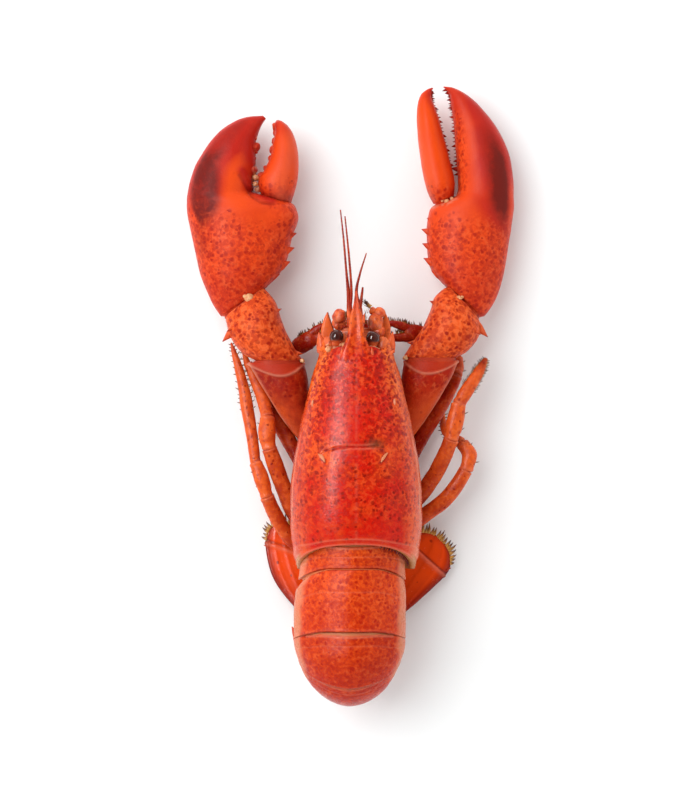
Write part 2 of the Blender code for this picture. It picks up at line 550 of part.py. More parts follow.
def material(name):
    made = bpy.data.materials.get(name)
    if made:
        return made
    made = bpy.data.materials.new(name)
    made.use_nodes = True
    shader = made.node_tree.nodes["Principled BSDF"]
    shader.inputs["Base Color"].default_value = (*SHELL_COLOURS[name], 1.0)
    shader.inputs["Roughness"].default_value = EYE_ROUGHNESS if name == "eye" else SHELL_ROUGHNESS
    shader.inputs["Metallic"].default_value = 0.0
    return made


def lofted(name, rings, finish, collection):
    """A closed body through the rings, with its origin at its middle."""
    origin = middle([middle(ring) for ring in rings])
    build = bmesh.new()
    placed = [[build.verts.new((p - origin) * MM) for p in ring] for ring in rings]
    for ring, following in zip(placed, placed[1:]):
        for k in range(len(ring)):
            after = (k + 1) % len(ring)
            build.faces.new((ring[k], ring[after], following[after], following[k]))
    build.faces.new(placed[0])
    build.faces.new(placed[-1])
    bmesh.ops.recalc_face_normals(build, faces=build.faces[:])
    mesh = bpy.data.meshes.new(name)
    build.to_mesh(mesh)
    build.free()
    mesh.materials.append(material(finish))
    mesh.shade_smooth()
    made = bpy.data.objects.new(name, mesh)
    made.location = origin * MM
    collection.objects.link(made)
    return made


def spike(root, tip, radius, finish, collection):
    """A small cone from root to tip."""
    root, tip = Vector(root), Vector(tip)
    build = bmesh.new()
    bmesh.ops.create_cone(
        build, cap_ends=True, segments=SPIKE_SIDES, radius1=radius * MM, radius2=0.0,
        depth=(tip - root).length * MM)
    bmesh.ops.remove_doubles(build, verts=build.verts[:], dist=0.00001)
    mesh = bpy.data.meshes.new("spike")
    build.to_mesh(mesh)
    build.free()
    mesh.materials.append(material(finish))
    made = bpy.data.objects.new("spike", mesh)
    made.location = (root + tip) / 2 * MM
    made.rotation_euler = UP.rotation_difference(tip - root).to_euler()
    collection.objects.link(made)
    return made


def fuse(body, collection):
    """Join everything in the collection to the body by one union, and remove what was joined."""
    union = body.modifiers.new("union", "BOOLEAN")
    union.operation = "UNION"
    union.operand_type = "COLLECTION"
    union.collection = collection
    union.solver = "EXACT"
    bpy.context.view_layer.update()
    evaluated = body.evaluated_get(bpy.context.evaluated_depsgraph_get())
    joined = bpy.data.meshes.new_from_object(evaluated)
    joined.name = body.name
    body.modifiers.remove(union)
    body.data = joined
    for extra in list(collection.objects):
        bpy.data.objects.remove(extra)


def carapace_ring(y, around, wall=0.0):
    """One ring round the carapace. Towards the rear edge the sides sweep back.

    With a wall it is the ring inside the shell, clear of the hollow underside.
    """
    _, half, top, widest, margin = row_for(CARAPACE_ROWS, y)
    half, top = half - wall, top - wall
    hollow = 0.0 if wall else CHANNEL_RISE
    margin += wall + CHANNEL_RISE if wall else 0.0
    swept = ease(-y, SWEEP_FROM, -CARAPACE_REAR)
    ring = []
    for k in range(around):
        angle = tau * k / around
        power = CARAPACE_POWERS[0] if cos(angle) > 0 else CARAPACE_POWERS[1]
        across, lift = full(sin(angle), power), full(cos(angle), power)
        height = widest + lift * (top - widest if lift > 0 else widest - margin)
        if lift < 0:
            height += hollow * (1.0 - ease(abs(across), *HOLLOW_ENDS))
        from_top = min(angle, tau - angle)
        groove = GROOVE_DEPTH * max(0.0, 1.0 - ((y - GROOVE_Y) / GROOVE_WIDTH) ** 2)
        if from_top < radians(GROOVE_TURN):
            height -= groove
        back = RIM_SWEEP * swept * ease(degrees(from_top), *SWEEP_TURNS)
        back *= 1.0 - ease(degrees(from_top), *SWEEP_ENDS)
        ring.append(Vector((BODY_X + half * across, y - back, height)))
    return ring


def make_carapace(parts, extras):
    around = 28
    stations = [CARAPACE_REAR, -63.0, -58.5, -52.5, -46.0, -39.5, -33.0, -27.5, -25.6, -24.0, -22.4]
    stations += [-20.0, -14.0, -8.0, -2.0, 4.0, 9.0, 13.5, 17.5, 21.0]
    rings = [carapace_ring(y, around) for y in stations]
    inner_rim = carapace_ring(CARAPACE_REAR, around, RIM_WALL)
    floor = [Vector((p.x, CUP_FLOOR, p.z)) for p in inner_rim]
    body = lofted("carapace", [floor, inner_rim] + rings, "carapace shell", parts)
    beak = []
    for station in range(9):
        y, half, top, thick = row_at(ROSTRUM_ROWS, station / 8)
        beak.append([Vector((BODY_X + half * a, y, top + thick * b)) for a, b in ROSTRUM_SECTION])
    lofted("rostrum", beak, "carapace shell", extras)
    for root, tip, radius in HEAD_SPINES:
        spike(root, tip, radius, "carapace shell", extras)
    fuse(body, extras)


def add_root(ring, way, extras):
    """The short root that carries a limb: a stub from just behind the limb's end into the body."""
    centre = middle(ring)
    side = 1.0 if centre.x > BODY_X else -1.0
    inside = Vector((
        BODY_X + side * ROOT_INNER, max(centre.y - ROOT_BACK, ROOT_REARMOST), centre.z + ROOT_LIFT))
    face = [p + way * ROOT_GAP for p in inset(ring, ROOT_INSET)]
    far = [inside + (p - centre) * ROOT_TAPER for p in ring]
    lofted("root", [far, face], "limb shell", extras)


def make_thorax(parts, extras):
    """The body between the legs, with the short root of each limb on it."""
    rings = []
    for station in range(9):
        y, half, low, high = row_at(THORAX_ROWS, station / 8)
        level, rise = (low + high) / 2, (high - low) / 2
        ring = []
        for k in range(12):
            across = full(cos(tau * k / 12), THORAX_POWER)
            lift = full(sin(tau * k / 12), THORAX_POWER)
            ring.append(Vector((BODY_X + half * across, y, level + rise * lift)))
        rings.append(ring)
    body = lofted("thorax", rings, "limb shell", parts)
    for pieces in LEGS.values():
        rings = limb_rings(pieces["merus"], 5, 7)
        add_root(rings[0], (middle(rings[0]) - middle(rings[1])).normalized(), extras)
    for rows in (CRUSHER_MERUS, CUTTER_MERUS):
        ring = flat_rings(rows, 7, 8)[-1]
        way = (ring[0] - ring[4]).cross(UP).normalized()
        add_root(ring, way, extras)
    fuse(body, extras)


def tail_point(along, x, height_below):
    """A place under the ridge line, given the distance along the ridge and the depth below it."""
    straight = TAIL_START - TAIL_CENTRE_Y
    if along <= straight:
        ridge = Vector((x, TAIL_START - along, 2 * TAIL_RADIUS))
        outward = UP
    elif along <= straight + pi * TAIL_RADIUS:
        turn = (along - straight) / TAIL_RADIUS
        outward = Vector((0.0, -sin(turn), cos(turn)))
        ridge = Vector((x, TAIL_CENTRE_Y, TAIL_RADIUS)) + outward * TAIL_RADIUS
    else:
        outward = -UP
        ridge = Vector((x, TAIL_CENTRE_Y + along - straight - pi * TAIL_RADIUS, 0.0))
    return ridge - outward * height_below


def make_tail_plate(number, parts, around=22):
    start, end, below, sweep_start, sweep_end = TAIL_PLATES[number]
    stations = 6 if number else 4
    rings = []
    for station in range(stations):
        share = station / (stations - 1)
        along = start + share * (end - start)
        _, x, half, depth = row_for(TAIL_ROWS, along)
        step = TAIL_STEP * (1.0 - ease(share, 0.0, 0.5)) if number else 0.0
        sweep = sweep_start + share * (sweep_end - sweep_start)
        ring = []
        for k in range(around):
            angle = tau * k / around
            power = DOME_POWERS[0] if cos(angle) > 0 else DOME_POWERS[1]
            across, lift = full(sin(angle), power), full(cos(angle), power)
            dome = depth * DOME_SHARE
            height = depth - dome + lift * (dome if lift > 0 else depth - dome)
            from_top = min(angle, tau - angle)
            back = sweep * ease(degrees(from_top), *PLATE_SWEEP_TURNS)
            sunk = below + step * max(0.0, lift)
            side = (half - step) * across
            ring.append(tail_point(along + back, x + side, sunk + depth - height))
        rings.append(ring)
    lofted(f"abdomen_{number + 1}", rings, "tail shell", parts)


def make_blade(name, rows, parts, along=7, around=12):
    rings = flat_rings(rows, along, around, 2.0)
    lofted(name, rings, "fan blade", parts)


def make_claw_piece(name, rows, along, around, finish, parts, extras, first=0.0, last=0.0):
    rings = with_round_ends(flat_rings(rows, along, around), first, last)
    body = lofted(name, rings, finish, parts)
    for share, turn, reach, radius in EDGE_SPINES.get(name, ()):
        surface, outward = flat_point(rows, share, radians(turn))
        spike(surface - outward * SPINE_ROOT, surface + outward * reach, radius, finish, extras)
    if name in TEETH:
        side, from_share, to_share, count, reach, radius = TEETH[name]
        for k in range(count):
            share = from_share + (to_share - from_share) * k / (count - 1)
            edge, outward = flat_point(rows, share, 0.0 if side > 0 else pi)
            spike(edge - outward * TOOTH_ROOT, edge + outward * reach, radius, finish, extras)
    if extras.objects:
        fuse(body, extras)


def make_leg(name, pieces, parts, extras):
    for piece in ("merus", "carpus"):
        stations = 5 if piece == "merus" else 4
        rings = with_round_ends(limb_rings(pieces[piece], stations, 8), 0.9, 0.9)
        lofted(f"{name}_{piece}", rings, "limb shell", parts)
    if "foot" in pieces:
        rings = with_round_ends(limb_rings(pieces["foot"], 7, 8), 0.8)
        lofted(f"{name}_foot", rings, "limb shell", parts)
        return
    rings = with_round_ends(limb_rings(pieces["palm"], 7, 8), 0.8)
    hand = lofted(f"{name}_foot", rings, "limb shell", parts)
    lofted("finger", limb_rings(pieces["finger"], 5, 8), "limb shell", extras)
    fuse(hand, extras)


def make_eye(name, centre, parts, extras):
    centre = Vector(centre)
    rings = []
    for turn in range(22, 180, 27):
        radius = EYE_RADIUS * sin(radians(turn))
        y = centre.y - EYE_RADIUS * cos(radians(turn))
        rings.append([
            Vector((centre.x + radius * cos(tau * k / 12), y, centre.z + radius * sin(tau * k / 12)))
            for k in range(12)])
    eye = lofted(name, rings, "eye", parts)
    stalk = (
        (centre.x, STALK_START, centre.z - 0.8, 2 * EYE_STALK, 2 * EYE_STALK),
        (centre.x, centre.y - 0.5, centre.z, 2 * EYE_STALK, 2 * EYE_STALK))
    lofted("stalk", limb_rings(stalk, 2, 8), "eye", extras)
    fuse(eye, extras)


def main():
    for thing in list(bpy.data.objects):
        bpy.data.objects.remove(thing)
    scene = bpy.context.scene
    parts = bpy.data.collections.new("whole_lobster")
    extras = bpy.data.collections.new("spines and roots")
    scene.collection.children.link(parts)
    scene.collection.children.link(extras)

    make_carapace(parts, extras)
    make_thorax(parts, extras)
    head = []
    for station in range(4):
        y, half, low, high = row_at(HEAD_ROWS, station / 3)
        head.append([
            Vector((
                BODY_X + half * full(cos(tau * k / 16), HEAD_POWER), y,
                (low + high) / 2 + (high - low) / 2 * full(sin(tau * k / 16), HEAD_POWER)))
            for k in range(16)])
    lofted("head", head, "limb shell", parts)
    for number in range(len(TAIL_PLATES)):
        make_tail_plate(number, parts)
    make_blade("telson", TELSON, parts)
    for name, rows in UROPODS.items():
        make_blade(name, rows, parts)
    make_claw_piece("crusher_palm", CRUSHER_PALM, 20, 18, "claw shell", parts, extras, 2.0)
    make_claw_piece("crusher_thumb", CRUSHER_THUMB, 11, 14, "claw shell", parts, extras, 1.0)
    make_claw_piece("cutter_palm", CUTTER_PALM, 22, 18, "claw shell", parts, extras, 2.0)
    make_claw_piece("cutter_thumb", CUTTER_THUMB, 12, 14, "claw shell", parts, extras, 1.0)
    make_claw_piece("crusher_carpus", CRUSHER_CARPUS, 7, 16, "claw shell", parts, extras)
    make_claw_piece("cutter_carpus", CUTTER_CARPUS, 7, 16, "claw shell", parts, extras)
    make_claw_piece("crusher_merus", CRUSHER_MERUS, 7, 14, "claw shell", parts, extras, 0.0, 1.5)
    make_claw_piece("cutter_merus", CUTTER_MERUS, 7, 14, "claw shell", parts, extras, 0.0, 1.5)
    for name, pieces in LEGS.items():
        make_leg(name, pieces, parts, extras)
    for side, name in ((-1, "maxilliped_left"), (1, "maxilliped_right")):
        rows = [(BODY_X + side * MAXILLIPED_X, *row[1:]) for row in MAXILLIPED]
        lofted(name, limb_rings(rows, 7, 8), "limb shell", parts)
    for name, centre in EYES.items():
        make_eye(name, centre, parts, extras)
    for name, rows in ANTENNA_PEDUNCLES.items():
        lofted(name, with_round_ends(limb_rings(rows, 4, 10), 0.0, 0.8), "antenna", parts)
    for name, rows in ANTENNAL_SCALES.items():
        lofted(name, limb_rings(rows, 5, 8), "limb shell", parts)
    for name, (stalk, second) in ANTENNULES.items():
        made = lofted(name, limb_rings(stalk, 10, 5), "antenna", parts)
        lofted("flagellum", limb_rings(second, 6, 5), "antenna", extras)
        fuse(made, extras)


main()
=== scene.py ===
# %% [markdown]
# # A whole boiled lobster
# The lobster lies on its belly on a white table, seen from straight above: claws forward, walking
# legs folded along the body, tail curled under. This lesson dresses the plain solids of the part.
# Every piece of shell is made again, finer, from the same few rows of real sizes, so that it lands
# on its solid. The shell could also be sculpted, but curves through rows keep each edge where it
# was measured and are easy to change.

# %% The frame: the solids, in metres, with the lobster's head towards +Y
from math import cos, pi, radians, sin, tau

import bpy
import numpy as np
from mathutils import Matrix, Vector, noise


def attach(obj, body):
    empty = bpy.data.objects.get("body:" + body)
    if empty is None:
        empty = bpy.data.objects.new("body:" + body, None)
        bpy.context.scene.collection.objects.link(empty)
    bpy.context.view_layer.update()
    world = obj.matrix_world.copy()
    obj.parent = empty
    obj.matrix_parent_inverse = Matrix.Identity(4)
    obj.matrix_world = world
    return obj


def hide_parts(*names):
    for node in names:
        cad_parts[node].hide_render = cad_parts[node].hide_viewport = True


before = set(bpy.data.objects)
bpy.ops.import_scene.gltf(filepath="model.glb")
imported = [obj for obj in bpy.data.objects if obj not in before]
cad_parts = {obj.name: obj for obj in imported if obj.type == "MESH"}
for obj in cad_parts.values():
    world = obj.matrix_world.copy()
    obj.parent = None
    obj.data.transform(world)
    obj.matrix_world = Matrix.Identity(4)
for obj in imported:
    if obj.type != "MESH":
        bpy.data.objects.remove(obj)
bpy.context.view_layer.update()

# %% [markdown]
# ## Smooth curves through a few rows
# A row is one station of a piece: where its edges are, and how high and deep it is there. Cubic
# curves run through the rows, and their slope is held down, so no edge ever bulges past the sizes
# that were measured. A spline object could do this too, but plain numbers are easier to colour
# and to add relief to later.

# %% Curves and soft steps
MM = 0.001
chance = np.random.default_rng(11)


def slope(before, after):
    """The slope between two steps, held down so that a curve never runs past its points."""
    same_way = before * after > 0.0
    most = 3.0 * np.minimum(np.abs(before), np.abs(after))
    return np.where(same_way, np.clip((before + after) / 2.0, -most, most), 0.0)


def row_at(rows, share):
    """The row at a share, 0 to 1, of the way along smooth curves through the rows."""
    rows = np.asarray(rows, dtype=float)
    place = share * (len(rows) - 1)
    index = min(int(place), len(rows) - 2)
    t = place - index
    start, end = rows[index], rows[index + 1]
    step = end - start
    before = start - rows[index - 1] if index else step
    after = rows[index + 2] - end if index + 2 < len(rows) else step
    leave, arrive = slope(before, step), slope(step, after)
    return ((2 * t**3 - 3 * t**2 + 1) * start + (t**3 - 2 * t**2 + t) * leave
            + (3 * t**2 - 2 * t**3) * end + (t**3 - t**2) * arrive)


def row_for(rows, key):
    """The row whose first number is key, read from smooth curves through the rows."""
    firsts = [row[0] for row in rows]
    index = min(max(int(np.searchsorted(firsts, key)) - 1, 0), len(rows) - 2)
    share = (index + (key - firsts[index]) / (firsts[index + 1] - firsts[index])) / (len(rows) - 1)
    return row_at(rows, min(max(share, 0.0), 1.0))


def ease(value, low, high):
    """0 at low, 1 at high, and a smooth change between."""
    t = np.clip((np.asarray(value, dtype=float) - low) / (high - low), 0.0, 1.0)
    return t * t * (3.0 - 2.0 * t)


def fade(value, low, high):
    """1 at low, 0 at high, and a smooth change between."""
    return 1.0 - ease(value, low, high)


def hill(value, middle, width):
    """1 at the middle, falling smoothly to nearly 0 two widths away."""
    return np.exp(-((np.asarray(value, dtype=float) - middle) / width) ** 2)


def full(value, power):
    """A sine or cosine pushed out towards a fuller, squarer section as power grows over 2."""
    return np.sign(value) * np.abs(value) ** (2.0 / power)


def section(angle, power):
    """The full cosine and the full sine of some angles."""
    return full(np.cos(angle), power), full(np.sin(angle), power)


def rows_along(rows, count):
    """So many rows, evenly spread along the piece."""
    return np.array([row_at(rows, share) for share in np.linspace(0.0, 1.0, count)])


def unit(vector):
    """The same direction with length 1."""
    return vector / np.linalg.norm(vector)


print("halfway through three rows:", row_at(((0.0,), (4.0,), (5.0,)), 0.5))

# %% [markdown]
# ## Grids of points
# A piece of shell starts as a grid: rings of points, one ring for each station along the piece.
# Claw pieces and tail blades are flattened, so they are given by their left and right edges. Legs
# and feelers are given by their middle line. The grid is kept as numbers until its relief is on.

# %% Rings across flattened pieces and limbs
SECTION_POWER = 2.2    # how full the sections of claws and limbs are; 2 would be an ellipse
CAP_TURNS = (90, 72, 54, 36, 18, 0)    # where the rings of a rounded end lie, in degrees


def turns(around):
    """The angles of so many points round a ring."""
    return np.arange(around) * tau / around


def share_along(grid):
    """How far along the grid each ring is, 0 to 1, as a column."""
    return np.linspace(0.0, 1.0, len(grid))[:, None]


def flat_grid(rows, along, around, power=SECTION_POWER):
    """Rings across a flattened piece, each from the right edge over the top to the left edge."""
    across, lift = section(turns(around), power)
    x1, y1, x2, y2, level, above, below = rows_along(rows, along).T[..., None]
    height = level + lift * np.where(lift > 0.0, above, below)
    return np.stack((
        (x1 + x2) / 2 + (x2 - x1) / 2 * across,
        (y1 + y2) / 2 + (y2 - y1) / 2 * across, height), axis=-1)


def limb_grid(rows, along, around):
    """Rings along a limb, given by points on its middle line with a width and a height."""
    stations = rows_along(rows, along)
    ahead = np.gradient(stations[:, :3], axis=0)
    side = np.cross(ahead, (0.0, 0.0, 1.0))
    side /= np.linalg.norm(side, axis=1, keepdims=True)
    top = np.cross(side, ahead)
    top /= np.linalg.norm(top, axis=1, keepdims=True)
    across, lift = (part[None, :, None] / 2 for part in section(turns(around), SECTION_POWER))
    return (stations[:, None, :3] + side[:, None] * across * stations[:, None, 3:4]
            + top[:, None] * lift * stations[:, None, 4:5])


def stretched(rows, first=0.0, last=0.0):
    """The rows with their ends drawn out by so many millimetres, to close over a joint."""
    rows = np.array(rows, dtype=float)
    flat = rows.shape[1] == 7
    spots = (rows[:, [0, 1, 4]] + rows[:, [2, 3, 4]]) / 2 if flat else rows[:, :3]
    for end, near, reach in ((0, 1, first), (-1, -2, last)):
        step = unit(spots[end] - spots[near]) * reach
        if flat:
            rows[end] += (step[0], step[1], step[0], step[1], step[2], 0.0, 0.0)
        else:
            rows[end, :3] += step
    return rows


def rounded(grid, first=0.0, last=0.0):
    """The grid with one end or both rounded off over a quarter circle, at the same length."""
    for turned, radius in ((False, first), (True, last)):
        if not radius:
            continue
        work = grid[::-1] if turned else grid
        centre = work[0].mean(axis=0)
        inward = unit(work[1:4].mean(axis=(0, 1)) - centre)
        away = work[0] - centre
        length = np.linalg.norm(away, axis=1, keepdims=True)
        cap = [centre + away * 0.05]
        for turn in np.radians(CAP_TURNS):
            keep = np.maximum(length - radius * (1.0 - cos(turn)), 0.15 * length)
            cap.append(centre + away / length * keep + inward * radius * (1.0 - sin(turn)))
        depth = (work.mean(axis=1) - centre) @ inward
        work = np.concatenate((np.array(cap), work[depth > radius * 1.05]))
        grid = work[::-1] if turned else work
    return grid


print("a test grid:", limb_grid(((0, 0, 0, 2, 2), (0, 5, 0, 2, 2)), 4, 8).shape)

# %% [markdown]
# ## Relief
# Real shell is never quite even: it is dented, pitted and rolled up at its edges. Each grid point
# is moved along the direction that points out of the surface, by an amount worked out from its
# place. A displacement map would also do, but these moves stay in the mesh as they are.

# %% Moving points along the surface's own direction
def outward(grid):
    """The direction out of the surface at each point of a grid."""
    around = np.roll(grid, -1, axis=1) - np.roll(grid, 1, axis=1)
    direction = np.cross(around, np.gradient(grid, axis=0))
    direction /= np.maximum(np.linalg.norm(direction, axis=2, keepdims=True), 1e-9)
    away = grid - grid.mean(axis=1, keepdims=True)
    return direction * (1.0 if (direction * away).sum() > 0.0 else -1.0)


def lumps(grid, size, seed=0.0):
    """Smooth random heights, about -1 to 1, with lumps about so many millimetres across."""
    places = (grid.reshape(-1, 3) / size + seed).tolist()
    return np.array([noise.noise(place) for place in places]).reshape(grid.shape[:2])


def xyz(grid):
    """The X, Y and Z of every grid point."""
    return grid[..., 0], grid[..., 1], grid[..., 2]


def raised(grid, amount):
    """The grid with each point moved out of the surface by its amount, mm."""
    return grid + outward(grid) * np.asarray(amount)[..., None]


def weathered(grid, dents):
    """The grid with soft dents about 9 mm across and a fine unevenness of about 1.5 mm."""
    return raised(grid, dents * lumps(grid, 9.0) + 0.03 * lumps(grid, 1.5, 5.0))


test_grid = limb_grid(((0, 0, 0, 2, 2), (0, 5, 0, 2, 2)), 4, 8)
print("highest lump on a test grid:", round(float(lumps(test_grid, 3.0).max()), 3))

# %% [markdown]
# ## From grids to pieces
# One piece is one mesh of one or more closed grids, such as a claw with its thorns. Each point
# also carries marks, numbers from 0 to 1, that its material reads: how red, dark, pale or skin-like
# the shell is there, and how many freckles it has. Marks are stored on the mesh, so the colours
# stay in place from every side.

# %% Making a mesh piece with its marks
MARKS = {"red": 0.0, "dark": 0.0, "pale": 0.0, "skin": 0.0, "freckles": 1.0}
made_pieces = []


def faces_of(grid, start):
    """Quads between the rings and a cap at each end, facing out, for points numbered from start."""
    along, around = grid.shape[:2]
    index = start + np.arange(along * around).reshape(along, around)
    after = np.roll(index, -1, axis=1)
    quads = np.stack((index[:-1], after[:-1], after[1:], index[1:]), axis=-1).reshape(-1, 4)
    ends = [index[0][::-1].tolist(), index[-1].tolist()]
    around_way = np.roll(grid, -1, axis=1) - grid
    facing = np.cross(around_way[:-1], grid[1:] - grid[:-1])
    away = grid[:-1] - grid[:-1].mean(axis=1, keepdims=True)
    if (facing * away).sum() < 0.0:
        quads = quads[:, ::-1]
        ends = [end[::-1] for end in ends]
    return quads.tolist() + ends


def make_piece(name, shells, finish, slot, *stands_for):
    """One object from (grid, marks) pairs, riding on the body and standing for its solids."""
    points, faces, start = [], [], 0
    marks = {key: [] for key in MARKS}
    for grid, painted in shells:
        points.append(grid.reshape(-1, 3) * MM)
        faces += faces_of(grid, start)
        for key, usual in MARKS.items():
            marks[key].append(np.broadcast_to(painted.get(key, usual), grid.shape[:2]).reshape(-1))
        start += grid.shape[0] * grid.shape[1]
    mesh = bpy.data.meshes.new(name)
    mesh.from_pydata(np.concatenate(points).tolist(), [], faces)
    for key, values in marks.items():
        layer = mesh.attributes.new(key, "FLOAT", "POINT")
        layer.data.foreach_set("value", np.clip(np.concatenate(values), 0.0, 1.0).astype(np.float32))
    mesh.shade_smooth()
    mesh.materials.append(finish)
    piece = bpy.data.objects.new(name, mesh)
    bpy.context.scene.collection.objects.link(piece)
    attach(piece, "root")
    if stands_for:
        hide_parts(*stands_for)
    made_pieces.append((name, sum(len(face) - 2 for face in faces)))
    print(f"{name}: {made_pieces[-1][1]} triangles")


# how wide a thorn is, in radii, at shares of its length
THORN_PROFILE = ((0.0, 2.0), (0.35, 1.75), (0.6, 1.2), (0.85, 0.5), (1.0, 0.12))


def thorn(root, tip, radius, along=11, around=12):
    """A stout cone with hollow sides, from root to tip."""
    root, tip = np.array(root, dtype=float), np.array(tip, dtype=float)
    rows = [(*(root + (tip - root) * share), wide * radius, wide * radius)
            for share, wide in THORN_PROFILE]
    return limb_grid(rows, along, around)


def ball(stations, around, opening):
    """A ball of radius 1 as rings along Y, left open by so many degrees at each end."""
    ring = turns(around)
    return np.array([
        np.column_stack((np.cos(ring) * sin(s), np.full(around, -cos(s)), np.sin(ring) * sin(s)))
        for s in np.radians(np.linspace(opening, 180.0 - opening, stations))])


def pebble(centre, size, seed=0.0, around=16, uneven=0.22):
    """A small uneven lump of three sizes, mm."""
    grid = np.array(centre) + ball(11, around, 8.0) * np.array(size) / 2
    return raised(grid, uneven * min(size) * lumps(grid, 0.6 * min(size), seed))


print("each point carries:", ", ".join(MARKS))

# %% [markdown]
# ## Boiled shell
# The shell is chitin hardened with lime. Boiling frees its orange-red pigment, which lies in
# clouds and in thousands of darker freckles, and leaves a surface like eggshell enamel: a soft
# sheen from the waxy skin over a rough, pitted shell. Chitin's index of refraction is about 1.5.
# The pigment could be painted as a picture, but noise and cell patterns at the real freckle
# spacing stay sharp on every side and in close views.

# %% Colours and nodes
def shade_of(hex_code):
    """An sRGB hex colour as linear numbers."""
    parts = [int(hex_code[k:k + 2], 16) / 255.0 for k in (0, 2, 4)]
    return (*[p / 12.92 if p <= 0.04045 else ((p + 0.055) / 1.055) ** 2.4 for p in parts], 1.0)


def fill(tree, node, inputs):
    """Sets or links inputs of a node: a socket is linked, anything else is a constant."""
    for key, value in inputs.items():
        if isinstance(value, bpy.types.NodeSocket):
            tree.links.new(value, node.inputs[key])
        else:
            node.inputs[key].default_value = value


def add(tree, kind, inputs=(), **settings):
    """Adds one node with its settings, and sets or links its inputs."""
    made = tree.nodes.new("ShaderNode" + kind)
    for name, value in settings.items():
        setattr(made, name, value)
    fill(tree, made, dict(inputs))
    return made


def blend(tree, share, first, second):
    """The colour between two hex colours or sockets: the first at share 0, the second at share 1."""
    first, second = (shade_of(c) if isinstance(c, str) else c for c in (first, second))
    return add(tree, "Mix", {0: share, 6: first, 7: second}, data_type="RGBA").outputs[2]


def times(tree, first, *others):
    """The product of sockets and numbers."""
    for other in others:
        first = add(tree, "Math", {0: first, 1: other}, operation="MULTIPLY").outputs[0]
    return first


def scaled(tree, value, by, plus, **settings):
    """A value times one thing plus another."""
    return add(tree, "Math", {0: value, 1: by, 2: plus}, operation="MULTIPLY_ADD", **settings).outputs[0]


def ramp(tree, value, low, high, start=0.0, end=1.0, **settings):
    """The way of a value from low to high, told as the way from start to end."""
    reach = {"Value": value, "From Min": low, "From Max": high, "To Min": start, "To Max": end}
    return add(tree, "MapRange", reach, **settings).outputs[0]


def cloudy(tree, place, size_mm, detail, roughness=0.5, distortion=0.0):
    """A noise with lumps about so many millimetres across."""
    return add(tree, "TexNoise", {
        "Vector": place, "Scale": 1000.0 / size_mm, "Detail": detail, "Roughness": roughness,
        "Distortion": distortion}).outputs


def new_finish(name):
    """A new material, its node tree, its shader and the object's own coordinates."""
    finish = bpy.data.materials.new(name)
    finish.use_nodes = True
    tree = finish.node_tree
    return finish, tree, tree.nodes["Principled BSDF"], add(tree, "TexCoord").outputs["Object"]


print("red FF0000 as linear numbers:", shade_of("FF0000"))

# %% [markdown]
# One function makes every shell material. Its numbers set how large clouds, flecks and freckles
# are and how the surface shines; the marks of each point say where they lie.

# %% The shell material
CHITIN_INDEX = 1.5
PIT_MM = 0.8
PIT_DEPTH = 0.0004
SWIRL = 0.0018    # how far freckles are pushed out of round, in metres


